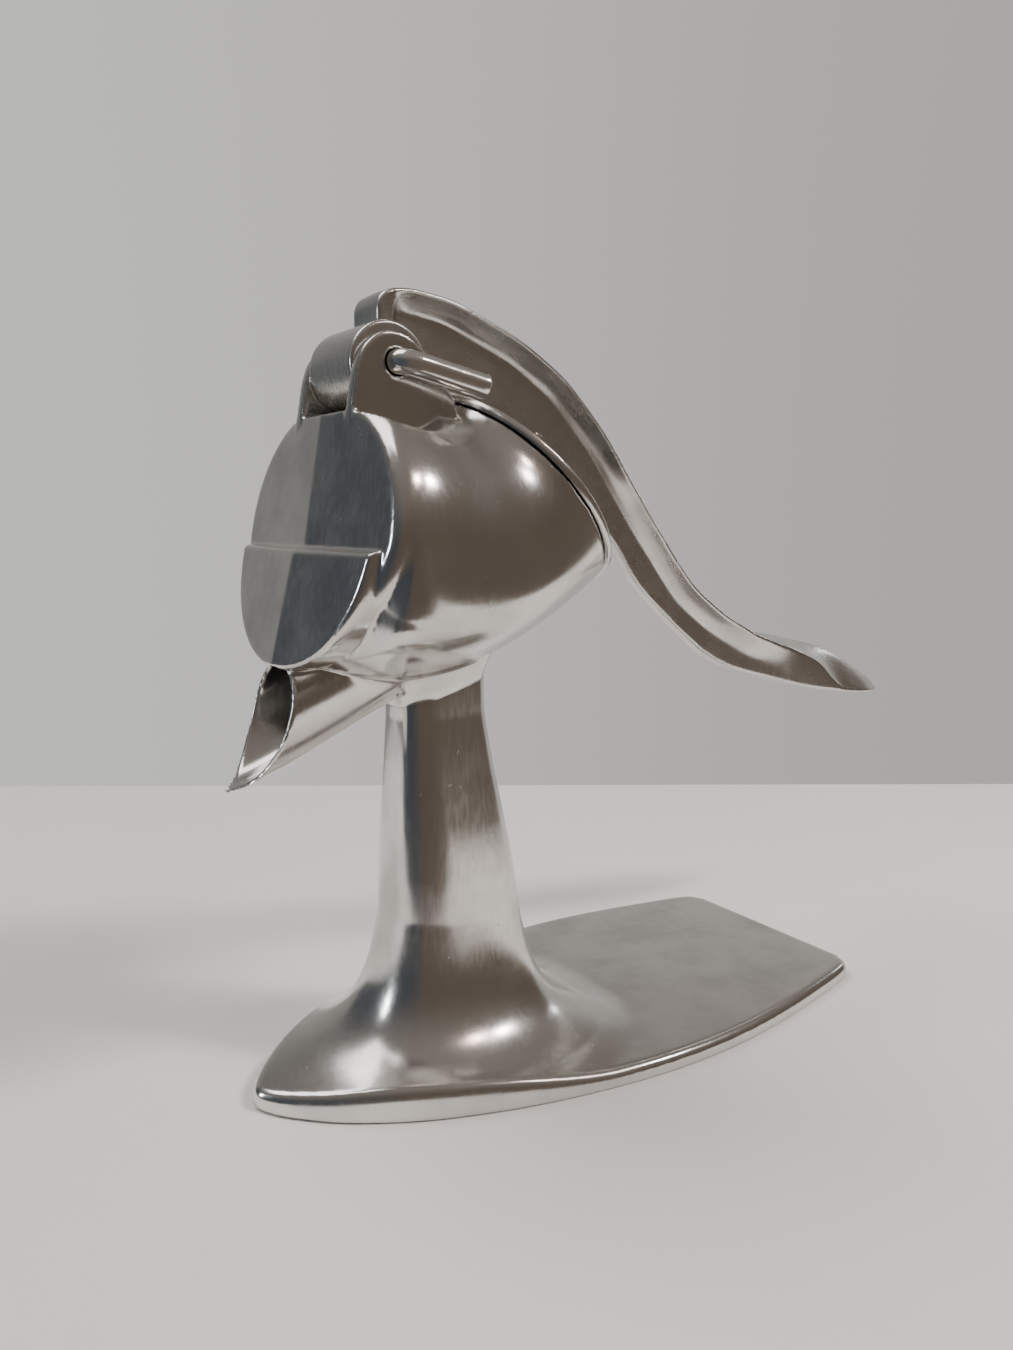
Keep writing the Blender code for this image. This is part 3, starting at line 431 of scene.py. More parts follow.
def lower_plate():
    """The proud lower half of the front face, with its own rounded border."""
    middle = FRONT_Z - 18.0
    rings = []
    for share, grow, back in ((0.04, -1.6, 0.0), (0.5, -1.6, 0.0), (1.0, -1.6, 0.0), (1.0, -0.9, 0.2),
                              (1.0, -0.5, 0.5), (1.0, 0.0, 1.6), (1.0, 0.3, 4.0), (1.0, 0.3, 14.0)):
        flat = [(x * share, middle + (z - middle) * share) for x, z in lower_outline(grow)]
        rings.append([(x, lower_face_y(x, z) + back, z) for x, z in flat])
    return loft("lower_plate", rings)


def ear_outline():
    """A hinge ear from the side, its root sunk into the bowl."""
    points = ((-97.9, 232.0), (-97.4, 236.5), (-96.5, 242.0), (-94.8, 250.5), (-92.2, 256.6),
              (-87.6, 260.8), (-82.9, 262.2), (-77.9, 261.5), (-73.5, 259.2), (-69.6, 255.6),
              (-62.4, 246.0), (-59.5, 242.6))
    return [tuple(p) for p in smooth_curve(points, 70)] + [(-56.0, 226.0), (-92.0, 222.0)]


# the mouth's slanting rim: height, distance along Y
MOUTH_LINE = ((156.6, -115.2), (140.0, -118.8), (128.0, -123.2), (118.0, -129.7), (114.1, -136.7))


def mouth_ring(trim):
    """The spout's slanting rim, drawn in by trim: round above, drawn out to a lip below."""
    line = smooth_curve(MOUTH_LINE, 60)[::-1]
    ring = []
    for turn in around(SPOUT_SIDES):
        across, up = math.cos(turn), math.sin(turn)
        reach = MOUTH_R if up > 0.0 else MOUTH_Z - MOUTH_TIP_Z
        x = (MOUTH_R - trim) * signed_power(across, 1.0 if up > 0.0 else 1.15)
        y = float(np.interp(MOUTH_Z + reach * up, line[:, 0], line[:, 1]))
        ring.append((x, y, MOUTH_Z + (reach - trim) * up))
    return ring


def spout_rings(trim):
    """Rings from deep inside the bowl out to the mouth."""
    rim = np.array(mouth_ring(trim))
    turn = around(SPOUT_SIDES)
    root = np.array([((13.0 - trim) * math.cos(t), -58.0, 164.0 + (18.0 - trim) * math.sin(t))
                     for t in turn])
    sag = np.array([max(0.0, -math.sin(t)) ** 2 for t in turn])
    rings = []
    for step in np.linspace(1.0, 0.0, 28) ** 1.3:
        ring = rim * (1.0 - step) + root * step
        ring[:, 2] -= 20.0 * step * (1.0 - step) ** 3 * sag
        rings.append([tuple(p) for p in ring])
    return rings


def spout_tube():
    """The spout's outside, ending on the hollowed, slanting mouth."""
    rings = spout_rings(0.0)
    n = SPOUT_SIDES
    faces = []
    for r in range(len(rings) - 1):
        for j in range(n):
            k = (j + 1) % n
            faces.append((r * n + j, r * n + k, (r + 1) * n + k, (r + 1) * n + j))
    faces.append(tuple(reversed(range(n))))
    last = (len(rings) - 1) * n
    quarter = n // 4
    for m in range(n // 2):
        right, left = last + (quarter - m) % n, last + quarter + m
        right_low, left_low = last + (quarter - m - 1) % n, last + (quarter + m + 1) % n
        faces.append(tuple(dict.fromkeys((right, left, left_low, right_low))))
    return make_object("spout", [p for ring in rings for p in ring], faces)


def spout_bore():
    """The spout's inside, carried on past the mouth so that it cuts right through."""
    rings = spout_rings(SPOUT_WALL)[2:]
    rings.append([(x, y - 9.0, z - 0.8) for x, y, z in rings[-1]])
    return loft("bore", rings)


def neck():
    """The short stem under the bowl, seated on the pillar's sloping top."""
    section = pillar_section(NECK_Z, base_outline(0.0, 180))
    rings = []
    for rise, grow in ((-SEAT_SPARE, 1.0), (0.0, 1.0), (1.5, 1.01), (4.0, 1.06), (7.0, 1.15), (14.0, 1.30)):
        ring = []
        for x, y in section:
            gx = x * grow
            gy = SEAT_Y + (y - SEAT_Y) * grow
            ring.append((gx, gy, SEAT_Z + SEAT_SLOPE * (gy - SEAT_Y) + rise))
        rings.append(ring)
    return loft("neck", rings)


CUP_CAVITY = ((41.5, 3.0), (41.4, 0.0), (40.6, -10.0), (39.0, -20.0), (36.2, -31.0), (32.0, -42.0),
              (26.0, -52.0), (18.0, -59.5), (9.0, -63.8), (1.5, -65.0))


def head_softness(points):
    """Where the casting's corners are rounder: round the neck and round the spout's root."""
    y, z = points[:, 1], points[:, 2]
    height = z - (SEAT_Z + SEAT_SLOPE * (y - SEAT_Y))
    near_neck = np.clip((height - 2.0) / 5.0, 0.0, 1.0) * np.clip((24.0 - height) / 8.0, 0.0, 1.0)
    behind_mouth = np.clip((y + 110.0) / 6.0, 0.0, 1.0) * (np.hypot(points[:, 0], y + 60.0) < 56.0)
    return near_neck * behind_mouth * (y > -112.0) * (y < -20.0)


def build_head(material):
    """The bowl with its front plate, ears, spout and neck, then everything that is cut out of it."""
    head = head_skin()
    combine(head, lower_plate(), "UNION")
    for low, high in both_sides(SLOT_HALF, EAR_OUT):
        combine(head, prism("ear", ear_outline(), low, high), "UNION")
    combine(head, spout_tube(), "UNION")
    combine(head, neck(), "UNION")
    combine(head, turned("cavity", CUP_CAVITY, tilted), "DIFFERENCE")
    combine(head, spout_bore(), "DIFFERENCE")
    room = KNUCKLE_R + KNUCKLE_ROOM
    combine(head, rod("knuckle_room", room, -SLOT_HALF, SLOT_HALF), "DIFFERENCE")
    floor = HINGE_Z - room
    outline = [(HINGE_Y, floor), (HINGE_Y, 300.0), (-120.0, 300.0), (-120.0, floor - 0.6)]
    combine(head, prism("slot_front", outline, -SLOT_HALF, SLOT_HALF), "DIFFERENCE")
    for low, high in both_sides(EAR_OUT, 70.0):
        combine(head, rod("pocket", POCKET_R, low, high), "DIFFERENCE")
    combine(head, rod("pin_bore", PIN_R + GAP, -40.0, 40.0), "DIFFERENCE")
    cast_surface(head, 0.6, 6, head_softness)
    combine(head, seat_block(False, SEAM), "DIFFERENCE")
    end = SEAT_Z - SPIGOT_DEPTH
    spigot = ((SPIGOT_R - 0.8, end), (SPIGOT_R, end + 0.8), (SPIGOT_R, SEAT_Z + 8.0))
    combine(head, turned("spigot", spigot, upright(SEAT_Y), 64), "UNION")
    hole = ((BOLT_HOLE_R, SEAT_Z - 30.0), (BOLT_HOLE_R, SEAT_Z + 6.0))
    combine(head, turned("bolt_hole", hole, upright(SEAT_Y), 64), "DIFFERENCE")
    return shade(head, material, 50.0)


# ---- strainer cup and dome ----------------------------------------------------------------------
STRAINER_OUT = ((39.6, 0.3), (39.4, -4.0), (38.2, -12.0), (35.6, -21.0), (31.4, -30.0), (25.0, -38.0),
                (16.5, -43.6), (7.5, -46.2), (1.0, -46.8))
STRAINER_HOLES = ((0.0, 1), (8.9, 6), (17.2, 12), (25.1, 18))


def build_strainer(material):
    """A thin perforated cup hung from the lip by a flat flange with rounded edges."""
    skin = [(45.4, 3.3), (45.9, 3.15), (46.2, 2.8), (46.3, 2.3), (46.3, 1.1), (46.1, 0.6), (45.8, 0.3)]
    wall = [tuple(p) for p in smooth_curve(STRAINER_OUT, 40)]
    cup = turned("strainer", skin + wall, tilted)
    inside = [(38.8, 4.3), (38.6, 3.3), (38.1, 2.6)]
    inside += [(r - 1.6, n + (0.3 if r > 30.0 else 1.6)) for r, n in smooth_curve(STRAINER_OUT[1:-1], 36)]
    combine(cup, turned("inside", inside, tilted), "DIFFERENCE")
    for ring_r, count in STRAINER_HOLES:
        for t in around(count):
            x, a = ring_r * math.cos(t), ring_r * math.sin(t)
            place = lambda u, v, height, x=x, a=a: tilted(x + u, a + v, height)
            combine(cup, turned("drill", ((2.2, -60.0), (2.2, -20.0)), place, 24), "DIFFERENCE")
    return shade(cup, material, 40.0)


def lug(name, round_r, reach, half_width, x_low, x_high):
    """A lug rounded about the dome pin, whose straight root ends at the given distance from the lip."""
    away = math.copysign(1.0, DOME_PIN_N - reach)
    arc = [math.pi * i / 32 for i in range(33)]
    outline = [(round_r * math.cos(t), DOME_PIN_N + away * round_r * math.sin(t)) for t in arc]
    outline += [(-half_width, reach), (half_width, reach)]
    return loft(name, [[tilted(x, a, n) for a, n in outline] for x in (x_low, x_high)])


def dome_pin_rod(name, radius, half_length):
    _, y, z = tilted(0.0, 0.0, DOME_PIN_N)
    return rod(name, radius, -half_length, half_length, y, z)


DOME_SKIN = ((2.0, 1.5), (0.6, 1.5), (0.0, 0.6), (0.0, -4.0), (1.6, -11.0), (5.4, -18.0),
             (11.0, -24.0), (18.5, -28.6), (25.0, -30.6), (30.5, -31.4))
DOME_HOLLOW = ((4.4, 4.0), (4.4, -6.0), (9.0, -15.0), (18.0, -22.0), (30.1, -25.0))


def build_dome(material):
    """The hollow-backed pressing dome, hung on its pin by two lugs."""
    skin = list(DOME_SKIN[:3]) + [tuple(p) for p in smooth_curve(DOME_SKIN[3:], 40)]
    dome = turned("dome", [(DOME_R - inset, n) for inset, n in skin], tilted)
    hollow = [DOME_HOLLOW[0]] + [tuple(p) for p in smooth_curve(DOME_HOLLOW[1:], 30)]
    combine(dome, turned("hollow", [(DOME_R - inset, n) for inset, n in hollow], tilted), "DIFFERENCE")
    for low, high in both_sides(LEVER_LUG_HALF + 0.5, DOME_LUG_OUT):
        combine(dome, lug("dome_lug", 6.0, -26.5, 8.0, low, high), "UNION")
    combine(dome, dome_pin_rod("cross_bore", DOME_PIN_R + GAP, 20.0), "DIFFERENCE")
    cast_surface(dome, 0.5, 3)
    return shade(dome, material)


def build_dome_pin(material):
    """A plain rivet with low round heads outside the dome's lugs."""
    _, y, z = tilted(0.0, 0.0, DOME_PIN_N)
    head = DOME_LUG_OUT + 0.3
    cap = [(head + 2.1 * math.sin(a), 4.6 * math.cos(a)) for a in np.linspace(1.45, 0.0, 12)]
    half = cap + [(head, DOME_PIN_R)]
    stations = [(-x, r) for x, r in half] + list(reversed(half))
    rings = [[(x, y + r * math.cos(t), z + r * math.sin(t)) for t in around(48)] for x, r in stations]
    return shade(loft("dome_rivet", rings), material, 50.0)


# ---- lever --------------------------------------------------------------------------------------
# top edge, lower edge, half width at the top, half width below, depth of rim and sweep, crown
LEVER = ((-80.8, 268.0, -80.4, 258.0, 8.2, 8.2, 8.0, 0.0),
         (-80.6, 273.0, -80.0, 252.0, 9.3, 9.3, 8.0, 0.0),
         (-78.6, 276.5, -78.0, 249.0, 9.5, 9.5, 8.0, 0.2),
         (-75.0, 278.2, -74.5, 247.5, 9.5, 8.4, 8.0, 0.4),
         (-71.5, 278.7, -71.0, 247.2, 9.5, 4.8, 8.0, 0.4),
         (-66.0, 278.8, -66.0, 246.8, 9.5, 3.2, 8.0, 0.4),
         (-52.0, 276.8, -54.0, 246.5, 9.5, 2.9, 8.0, 0.4),
         (-37.5, 271.9, -44.5, 245.0, 9.5, 2.9, 8.2, 0.4),
         (-23.0, 266.1, -32.0, 238.5, 9.5, 2.9, 8.2, 0.4),
         (-12.2, 260.1, -22.5, 234.0, 9.5, 2.9, 8.4, 0.4), (-2.5, 253.7, -13.5, 229.0, 9.5, 2.9, 8.5, 0.4),
         (7.0, 245.0, -5.5, 222.5, 9.5, 2.9, 8.6, 0.4), (18.7, 232.7, 4.5, 214.5, 9.5, 2.9, 8.6, 0.4),
         (30.3, 217.6, 16.0, 204.0, 9.5, 2.9, 8.6, 0.4), (42.4, 201.9, 28.5, 190.5, 9.5, 2.9, 8.6, 0.4),
         (49.2, 193.8, 36.5, 179.3, 9.5, 2.9, 8.6, 0.4), (56.1, 185.4, 44.0, 171.3, 9.5, 2.9, 8.6, 0.4),
         (67.5, 173.5, 58.0, 159.6, 9.6, 3.0, 9.0, 0.5), (84.0, 162.0, 76.0, 145.8, 9.9, 3.6, 9.5, 0.7),
         (96.2, 155.6, 89.5, 138.4, 10.3, 4.5, 10.0, 1.0),
         (105.0, 151.2, 100.5, 134.4, 10.7, 6.2, 11.0, 1.6),
         (117.0, 147.0, 114.0, 130.6, 11.2, 9.0, 12.0, 3.4),
         (131.0, 142.3, 130.0, 126.2, 11.8, 11.5, 13.0, 5.2),
         (145.5, 135.8, 145.0, 122.9, 12.0, 12.0, 12.0, 8.8),
         (156.0, 127.6, 156.0, 121.2, 11.8, 11.8, 6.0, 14.3),
         (165.0, 122.0, 165.0, 119.6, 11.0, 11.0, 3.0, 17.0),
         (176.0, 119.4, 176.0, 118.0, 9.6, 9.6, 2.0, 15.0),
         (188.0, 118.0, 188.0, 116.6, 7.4, 7.4, 2.0, 10.0),
         (197.0, 117.2, 197.0, 115.8, 4.6, 4.6, 2.0, 5.6),
         (203.4, 116.6, 203.4, 115.4, 1.6, 1.6, 2.0, 1.0))
RIM = 1.5                         # flat side of the lever's top flange
LEVER_CORNER = 0.9
SWEEP_STEPS = [step / 16 for step in range(17)]


def lever_side(top_y, top_z, low_y, low_z, half, low_half, sweep):
    """One side of the section, top down: a rim, a hollow sweep into the web, and the web's edge."""
    depth = math.hypot(top_y - low_y, top_z - low_z)
    rim = min(RIM, 0.25 * depth)
    low_half = min(half, low_half)
    corner = min(LEVER_CORNER, 0.4 * low_half, 0.2 * depth)
    reach = min(max(1.0, sweep - rim), depth - rim - corner - 0.1)
    bend = [(1.0 - math.cos(a), 1.0 - math.sin(a)) for a in np.linspace(0.0, math.pi / 2, 5)]
    top_corner = min(LEVER_CORNER, 0.4 * half, 0.6 * rim)
    side = [(top_corner * down, half - top_corner * trim) for down, trim in bend]
    side += [(rim + reach * step, low_half + (half - low_half) * (1.0 - step) ** 1.8) for step in SWEEP_STEPS]
    side += [(depth - corner * trim, low_half - corner * down) for down, trim in bend]
    return [(x, top_y + (low_y - top_y) * down / depth, top_z + (low_z - top_z) * down / depth)
            for down, x in side]


def lever_beam():
    """A curved T-section beam whose flange sweeps hollow into the web, ending in a leaf-shaped grip."""
    rings = []
    for row in smooth_curve(LEVER, 320):
        top_y, top_z, *rest, crown = [float(v) for v in row]
        side = lever_side(top_y, top_z, *rest)
        edge = side[0][0]
        arch = [(edge * f, top_y, top_z + max(0.0, crown) * (1.0 - f ** 1.4))
                for f in (0.08, 0.2, 0.32, 0.45, 0.58, 0.72, 0.86, 0.95)]
        ring = [(-x, y, z) for x, y, z in arch] + [(-x, y, z) for x, y, z in side]
        ring += list(reversed(side)) + list(reversed(arch))
        rings.append(ring)
    return loft("lever", rings)


def build_lever(material):
    """The beam with its knuckle, its lug for the dome, and the two pins' bores."""
    lever = lever_beam()
    half = SLOT_HALF - 0.5
    combine(lever, rod("knuckle", KNUCKLE_R, -half, half, chamfer=0.8), "UNION")
    combine(lever, lug("lever_lug", 6.5, 25.0, 9.0, -LEVER_LUG_HALF, LEVER_LUG_HALF), "UNION")
    combine(lever, rod("bore", PIN_R + GAP, -30.0, 30.0), "DIFFERENCE")
    combine(lever, dome_pin_rod("cross_bore", DOME_PIN_R + GAP, 20.0), "DIFFERENCE")
    cast_surface(lever, 0.5, 8)
    return shade(lever, material)


# ---- hinge pin ----------------------------------------------------------------------------------
def build_hinge_pin(material):
    """A bent steel rod: straight through both ears, then a leg that serves as its handle."""
    bend = ((21.0, HINGE_Y, HINGE_Z), (23.6, -80.4, 252.55), (25.6, -79.0, 252.2),
            (26.7, -76.6, 251.65), (27.3, -73.2, 250.85), (28.4, -64.6, 248.8))
    route = ((-24.0, HINGE_Y, HINGE_Z), (0.0, HINGE_Y, HINGE_Z)) + bend + ((30.2, -51.9, 245.7),)
    path = smooth_curve(route, 120)
    along = np.gradient(path, axis=0)
    along /= np.linalg.norm(along, axis=1)[:, None]
    corner = 0.9
    arc = [(corner * (1.0 - math.cos(a)), corner * (1.0 - math.sin(a)))
           for a in np.linspace(0.0, math.pi / 2, 6)]
    inner = range(4, len(path) - 4)
    stations = [(path[0] + along[0] * inset, along[0], PIN_R - trim) for inset, trim in arc]
    stations += [(path[i], along[i], PIN_R) for i in inner]
    stations += [(path[-1] - along[-1] * inset, along[-1], PIN_R - trim) for inset, trim in reversed(arc)]
    rings = []
    for centre, ahead, radius in stations:
        up = np.array([0.0, 0.0, 1.0]) - ahead[2] * ahead
        up /= np.linalg.norm(up)
        side = np.cross(ahead, up)
        rings.append([tuple(centre + radius * (math.cos(t) * side + math.sin(t) * up)) for t in around(64)])
    return shade(loft("pin", rings), material, 50.0)


# ---- materials ----------------------------------------------------------------------------------
class Wiring:
    """Short calls for wiring one node tree."""

    def __init__(self, tree):
        self.tree = tree

    def link(self, out, into):
        self.tree.links.new(out, into)

    def feed(self, socket, value):
        """Give a socket another node's output, a colour or a number."""
        if hasattr(value, "links"):
            self.link(value, socket)
        elif isinstance(value, tuple):
            socket.default_value = (*value, 1.0)
        else:
            socket.default_value = value

    def ramp(self, value, low, high, to_low=0.0, to_high=1.0):
        """A smooth step from to_low to to_high, as the value goes from low to high."""
        node = self.tree.nodes.new("ShaderNodeMapRange")
        node.interpolation_type = "SMOOTHSTEP"
        for key, number in (("From Min", low), ("From Max", high), ("To Min", to_low), ("To Max", to_high)):
            node.inputs[key].default_value = number
        self.link(value, node.inputs["Value"])
        return node.outputs["Result"]

    def mix_colour(self, factor, first, second):
        node = self.tree.nodes.new("ShaderNodeMix")
        node.data_type = "RGBA"
        self.link(factor, node.inputs["Factor"])
        for name, value in (("A", first), ("B", second)):
            self.feed([s for s in node.inputs if s.name == name and s.type == "RGBA"][0], value)
        return [s for s in node.outputs if s.type == "RGBA"][0]

    def maths(self, operation, first, second):
        node = self.tree.nodes.new("ShaderNodeMath")
        node.operation = operation
        for socket, value in zip(node.inputs, (first, second)):
            self.feed(socket, value)
        return node.outputs[0]


class Recipe(Wiring):
    """One procedural material, with the patterns that these surfaces need."""

    def __init__(self, name):
        self.material = bpy.data.materials.new(name)
        self.material.use_nodes = True
        super().__init__(self.material.node_tree)
        self.shader = self.tree.nodes["Principled BSDF"]
        self.place = self.tree.nodes.new("ShaderNodeTexCoord").outputs["Object"]

    def stretched(self, scale):
        node = self.tree.nodes.new("ShaderNodeMapping")
        node.inputs["Scale"].default_value = scale
        self.link(self.place, node.inputs["Vector"])
        return node.outputs["Vector"]

    def noise(self, size_mm, detail=4.0, rough=0.55, stretch=(1.0, 1.0, 1.0)):
        node = self.tree.nodes.new("ShaderNodeTexNoise")
        node.inputs["Scale"].default_value = 1.0 / (size_mm * MM)
        node.inputs["Detail"].default_value = detail
        node.inputs["Roughness"].default_value = rough
        self.link(self.stretched(stretch), node.inputs["Vector"])
        return node.outputs["Fac"]

    def bump(self, height, depth_mm, under=None):
        """A surface relief of the given depth, on top of another one if there is one."""
        node = self.tree.nodes.new("ShaderNodeBump")
        node.inputs["Strength"].default_value = 1.0
        node.inputs["Distance"].default_value = depth_mm * MM
        self.link(height, node.inputs["Height"])
        if under:
            self.link(under, node.inputs["Normal"])
        return node.outputs["Normal"]

    def pits(self, size_mm, share):
        """Scattered small round pits: 1 in a pit, 0 on the sound surface."""
        node = self.tree.nodes.new("ShaderNodeTexVoronoi")
        node.inputs["Scale"].default_value = 1.0 / (size_mm * MM)
        self.link(self.place, node.inputs["Vector"])
        pit = self.ramp(node.outputs["Distance"], 0.05, 0.22, 1.0, 0.0)
        patches = self.ramp(self.noise(size_mm * 5.0, 2.0), 1.0 - share, 1.0 - share + 0.12)
        return self.maths("MULTIPLY", pit, patches)


ALUMINIUM = (0.76, 0.745, 0.72)
PITTED = (0.24, 0.225, 0.21)
DULLED = 0.82                     # how much darker the dull patches are


def cast_aluminium(name, tone, smooth, worn, pit_depth, polish_along):
    """Polished cast aluminium: cloudy satin patches, long faint polishing marks and fine pits."""
    metal = Recipe(name)
    clouds = metal.noise(26.0, 5.0, 0.6)
    marks = metal.noise(1.1, 3.0, 0.6, polish_along)
    pits = metal.pits(1.9, 0.38)
    bright = tuple(c * tone for c in ALUMINIUM)
    dull = tuple(c * tone * DULLED for c in ALUMINIUM)
    colour = metal.mix_colour(metal.ramp(clouds, 0.35, 0.75), bright, dull)
    colour = metal.mix_colour(metal.maths("MULTIPLY", pits, 0.5), colour, PITTED)
    metal.link(colour, metal.shader.inputs["Base Color"])
    spread = metal.ramp(clouds, 0.32, 0.74, smooth, worn)
    spread = metal.maths("ADD", spread, metal.ramp(marks, 0.3, 0.8, -0.02, 0.04))
    spread = metal.maths("ADD", spread, metal.maths("MULTIPLY", pits, 0.2))
    metal.link(spread, metal.shader.inputs["Roughness"])
    waves = metal.bump(metal.noise(16.0, 2.0, 0.5), 0.05)
    brushed = metal.bump(marks, 0.004, waves)
    pitted = metal.bump(metal.maths("MULTIPLY", pits, -1.0), pit_depth, brushed)
    metal.link(pitted, metal.shader.inputs["Normal"])
    metal.shader.inputs["Metallic"].default_value = 1.0
    return metal.material


def bright_steel():
    """Polished bar with faint drawing lines along it."""
    metal = Recipe("bright_steel")
    lines = metal.noise(0.5, 2.0, 0.5, (0.05, 1.0, 1.0))
    wear = metal.noise(6.0, 3.0, 0.6)
    metal.link(metal.mix_colour(metal.ramp(wear, 0.4, 0.8), (0.93, 0.925, 0.91), (0.84, 0.83, 0.815)),
               metal.shader.inputs["Base Color"])
    metal.link(metal.ramp(wear, 0.3, 0.8, 0.14, 0.22), metal.shader.inputs["Roughness"])
    metal.link(metal.bump(lines, 0.006), metal.shader.inputs["Normal"])
    metal.shader.inputs["Metallic"].default_value = 1.0
    return metal.material


def plated_steel():
    """Dull zinc plating with a soft mottle."""
    metal = Recipe("plated_steel")
    mottle = metal.noise(2.2, 4.0, 0.6)
    metal.link(metal.mix_colour(mottle, (0.50, 0.50, 0.49), (0.66, 0.65, 0.62)),
               metal.shader.inputs["Base Color"])
    metal.link(metal.ramp(mottle, 0.3, 0.7, 0.24, 0.40), metal.shader.inputs["Roughness"])
    metal.link(metal.bump(metal.noise(0.6), 0.01), metal.shader.inputs["Normal"])
    metal.shader.inputs["Metallic"].default_value = 1.0
    return metal.material


def cloth_floor():
    """A plain pale floor with a very faint unevenness."""
    floor = Recipe("pale_floor")
    tone = floor.mix_colour(floor.noise(180.0, 3.0), (0.80, 0.785, 0.765), (0.86, 0.845, 0.825))
    floor.link(tone, floor.shader.inputs["Base Color"])
    floor.shader.inputs["Roughness"].default_value = 0.85
    floor.link(floor.bump(floor.noise(60.0, 3.0), 2.0), floor.shader.inputs["Normal"])
    return floor.material


# ---- stage, lights, camera ----------------------------------------------------------------------
CAMERA_AT = Vector((0.322, -0.2431, 0.2043))
CAMERA_AZIMUTH = math.radians(55.75)
CAMERA_PITCH = math.radians(8.912)
CAMERA_ROLL = math.radians(-0.133)
CAMERA_LENS = 27.32
# the table's corners: level distance ahead of the camera, and to its right
TABLE_CORNERS = ((0.19, -0.90), (0.19, 0.13), (0.06, 0.40), (0.30, 0.50), (0.76, 0.50), (0.76, -0.90))


def camera_axes():
    level = Vector((-math.sin(CAMERA_AZIMUTH), math.cos(CAMERA_AZIMUTH), 0.0))
    ahead = level * math.cos(CAMERA_PITCH) - Vector((0.0, 0.0, math.sin(CAMERA_PITCH)))
    right = Vector((math.cos(CAMERA_AZIMUTH), math.sin(CAMERA_AZIMUTH), 0.0))
    up = right.cross(ahead)
    turned_right = right * math.cos(CAMERA_ROLL) + up * math.sin(CAMERA_ROLL)
    turned_up = up * math.cos(CAMERA_ROLL) - right * math.sin(CAMERA_ROLL)
    return level, turned_right, turned_up, ahead


def build_camera():
    _, right, up, ahead = camera_axes()
    data = bpy.data.cameras.new("camera")
    data.lens = CAMERA_LENS
    data.sensor_width = 36.0
    data.clip_start = 0.01
    camera = bpy.data.objects.new("camera", data)
    bpy.context.scene.collection.objects.link(camera)
    matrix = Matrix.Identity(4)
    for i in range(3):
        matrix[i][0], matrix[i][1], matrix[i][2], matrix[i][3] = right[i], up[i], -ahead[i], CAMERA_AT[i]
    camera.matrix_world = matrix
    bpy.context.scene.camera = camera
    return camera


def build_table():
    level, right, _, _ = camera_axes()
    flat_right = Vector((right.x, right.y, 0.0)).normalized()
    corners = [Vector((CAMERA_AT.x, CAMERA_AT.y, 0.0)) + level * ahead + flat_right * across
               for ahead, across in TABLE_CORNERS]
    mesh = bpy.data.meshes.new("table")
    mesh.from_pydata([tuple(c) for c in corners], [], [tuple(range(len(corners)))])
    obj = bpy.data.objects.new("table", mesh)
    bpy.context.scene.collection.objects.link(obj)
    obj.data.materials.append(cloth_floor())


MIDDLE = (0.0, -0.03, 0.12)
# place, width, height, power, colour, whether the metal reflects it
LIGHTS = {
    "overhead": ((-0.80, -0.65, 2.1), 1.4, 1.4, 20.0, (1.0, 0.98, 0.96), True),
    "right_fill": ((0.748, 0.594, 1.087), 0.14, 0.30, 11.0, (1.0, 0.94, 0.91), False),
    "left_fill": ((-0.80, -0.65, 1.6), 0.9, 0.9, 7.0, (1.0, 0.98, 0.96), False),
    "warm_lamp": ((0.724, 0.388, 1.116), 0.10, 0.10, 1.5, (1.0, 0.78, 0.70), True),
    "right_lamp": ((0.626, 0.665, 1.023), 0.12, 0.12, 2.4, (1.0, 0.96, 0.94), True),
    "window": ((-0.42, -1.05, 0.36), 0.10, 0.22, 1.6, (0.90, 0.95, 1.0), True),
    "left_lamp": ((-0.567, -1.454, 0.367), 0.10, 0.10, 1.2, (0.92, 0.96, 1.0), True),
    "back_lamp": ((-0.065, 1.048, 0.50), 0.10, 0.10, 0.25, (0.94, 0.97, 1.0), True)}


def soft_light(name, place, width, height, power, colour, reflected):
    data = bpy.data.lights.new(name, "AREA")
    data.shape = "RECTANGLE"
    data.size = width
    data.size_y = height
    data.energy = power
    data.color = colour
    light = bpy.data.objects.new(name, data)
    light.location = place
    light.rotation_euler = (Vector(MIDDLE) - Vector(place)).to_track_quat("-Z", "Y").to_euler()
    light.visible_camera = False
    light.visible_glossy = reflected
    bpy.context.scene.collection.objects.link(light)


def build_lights():
    """Soft light from above, two fills that only light the floor, and lamps for the metal's glints."""
    for name, values in LIGHTS.items():
        soft_light(name, *values)


class Room(Wiring):
    """The surroundings: a pale wall beyond the table, and a dim room everywhere else."""

    def __init__(self):
        world = bpy.data.worlds.new("room")
        bpy.context.scene.world = world
        world.use_nodes = True
        super().__init__(world.node_tree)
        self.background = self.tree.nodes["Background"]
        self.direction = self.tree.nodes.new("ShaderNodeTexCoord").outputs["Generated"]

    def along(self, axis):
        """How far a direction points along an axis."""
        node = self.tree.nodes.new("ShaderNodeVectorMath")
        node.operation = "DOT_PRODUCT"
        node.inputs[1].default_value = axis
        self.link(self.direction, node.inputs[0])
        return node.outputs["Value"]


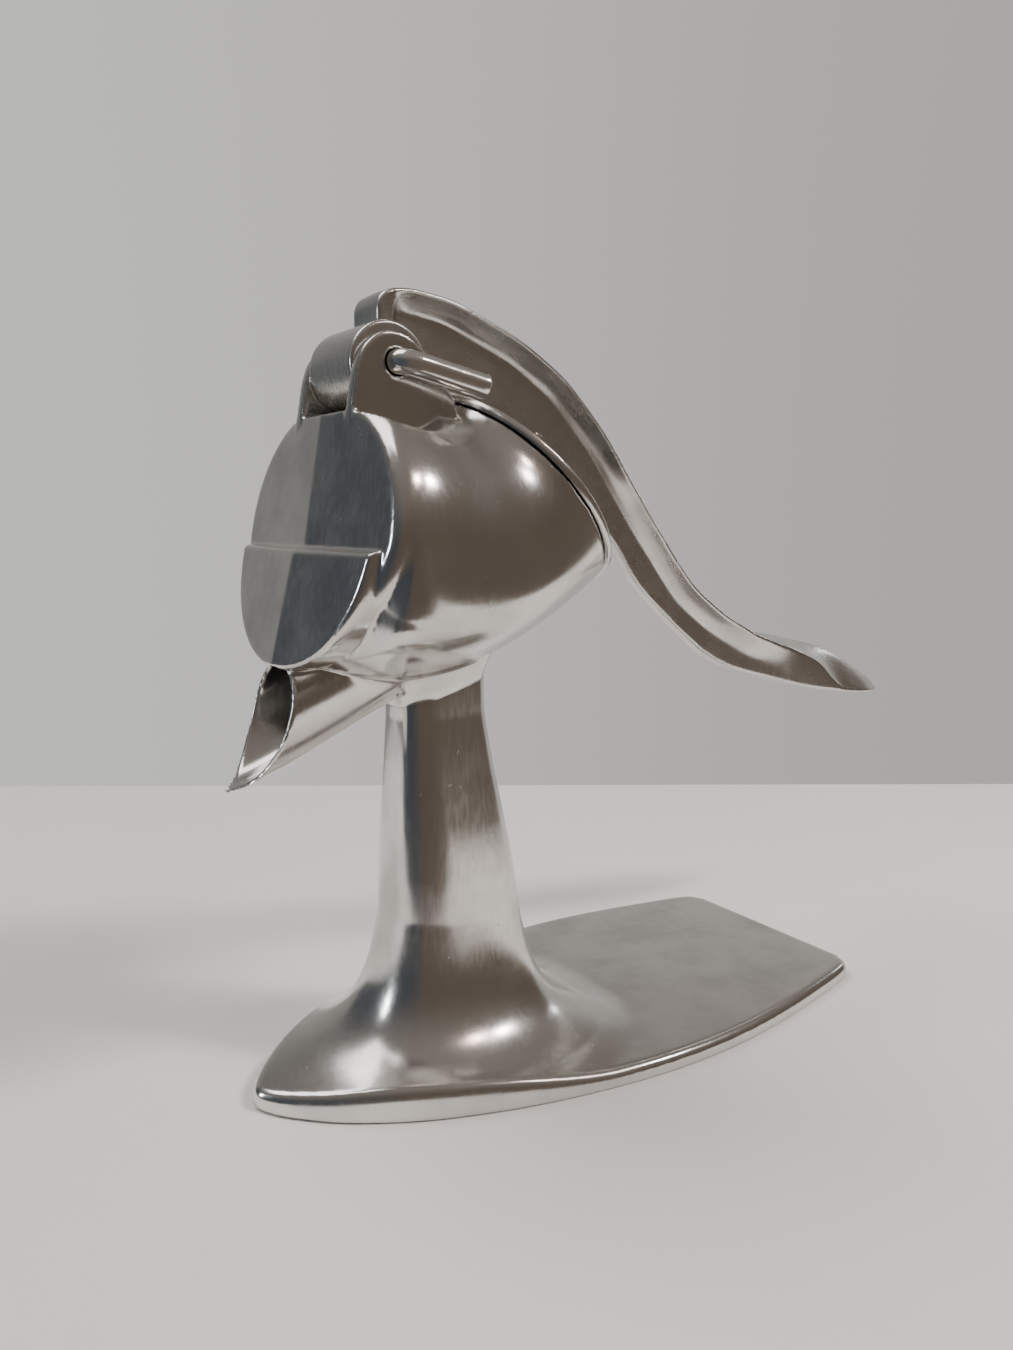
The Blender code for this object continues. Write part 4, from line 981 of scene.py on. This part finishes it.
def build_room():
    """Directions are read across, ahead and up, so the wall stays beyond the table."""
    level, right, _, _ = camera_axes()
    room = Room()
    across = room.along(tuple(right))
    ahead = room.along(tuple(level))
    up = room.along((0.0, 0.0, 1.0))
    seen = room.mix_colour(room.ramp(across, -0.5, 0.5), (0.71, 0.70, 0.685), (0.50, 0.47, 0.445))
    horizon = room.mix_colour(room.ramp(across, -0.6, 0.3), (0.062, 0.070, 0.082), (0.125, 0.098, 0.078))
    dim = room.mix_colour(room.ramp(up, 0.15, 0.95), horizon, (0.24, 0.215, 0.195))
    pale = room.mix_colour(room.ramp(across, -0.85, 0.1), (0.27, 0.265, 0.25), (0.52, 0.50, 0.475))
    wall = room.maths("MULTIPLY", room.ramp(ahead, 0.50, 0.60), room.ramp(up, 0.30, 0.62, 1.0, 0.0))
    felt = room.mix_colour(wall, dim, pale)
    camera_ray = room.tree.nodes.new("ShaderNodeLightPath").outputs["Is Camera Ray"]
    room.link(room.mix_colour(camera_ray, felt, seen), room.background.inputs["Color"])


def build_pieces(frame):
    """Every casting and pin in its better form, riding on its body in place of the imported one."""
    casting = cast_aluminium("cast_aluminium", 1.0, 0.15, 0.25, 0.035, (1.0, 1.0, 0.12))
    lever_metal = cast_aluminium("lever_aluminium", 0.96, 0.22, 0.32, 0.015, (1.0, 0.06, 0.06))
    cup_metal = cast_aluminium("cup_aluminium", 1.0, 0.20, 0.30, 0.015, (1.0, 1.0, 1.0))
    steel = bright_steel()
    plated = plated_steel()
    for build, material, node, body, slot in (
            (build_stand, casting, "stand_casting", "base", "cast_aluminium"),
            (build_head, casting, "head_casting", "base", "cast_aluminium"),
            (build_strainer, cup_metal, "strainer_cup", "base", "cup_aluminium"),
            (build_lever, lever_metal, "lever_casting", "lever", "cast_aluminium"),
            (build_dome, cup_metal, "press_dome", "dome", "dome_aluminium"),
            (build_dome_pin, plated, "dome_pin", "lever", "pin_steel"),
            (build_hinge_pin, steel, "hinge_pin", "pin", "bright_steel")):
        piece = build(material)
        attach(piece, body)
        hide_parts(node)
    for node in ("head_bolt", "bolt_washer", "spring_washer"):
        shade(frame["nodes"][node], plated, 32.0)


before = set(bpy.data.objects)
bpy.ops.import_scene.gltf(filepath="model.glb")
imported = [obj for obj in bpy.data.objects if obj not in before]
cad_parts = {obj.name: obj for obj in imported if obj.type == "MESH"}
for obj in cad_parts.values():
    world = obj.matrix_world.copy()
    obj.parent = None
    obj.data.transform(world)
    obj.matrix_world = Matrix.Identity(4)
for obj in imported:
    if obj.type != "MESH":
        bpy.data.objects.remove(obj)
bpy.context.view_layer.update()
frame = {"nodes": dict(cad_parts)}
build_camera()
build_pieces(frame)
build_table()
build_room()
build_lights()
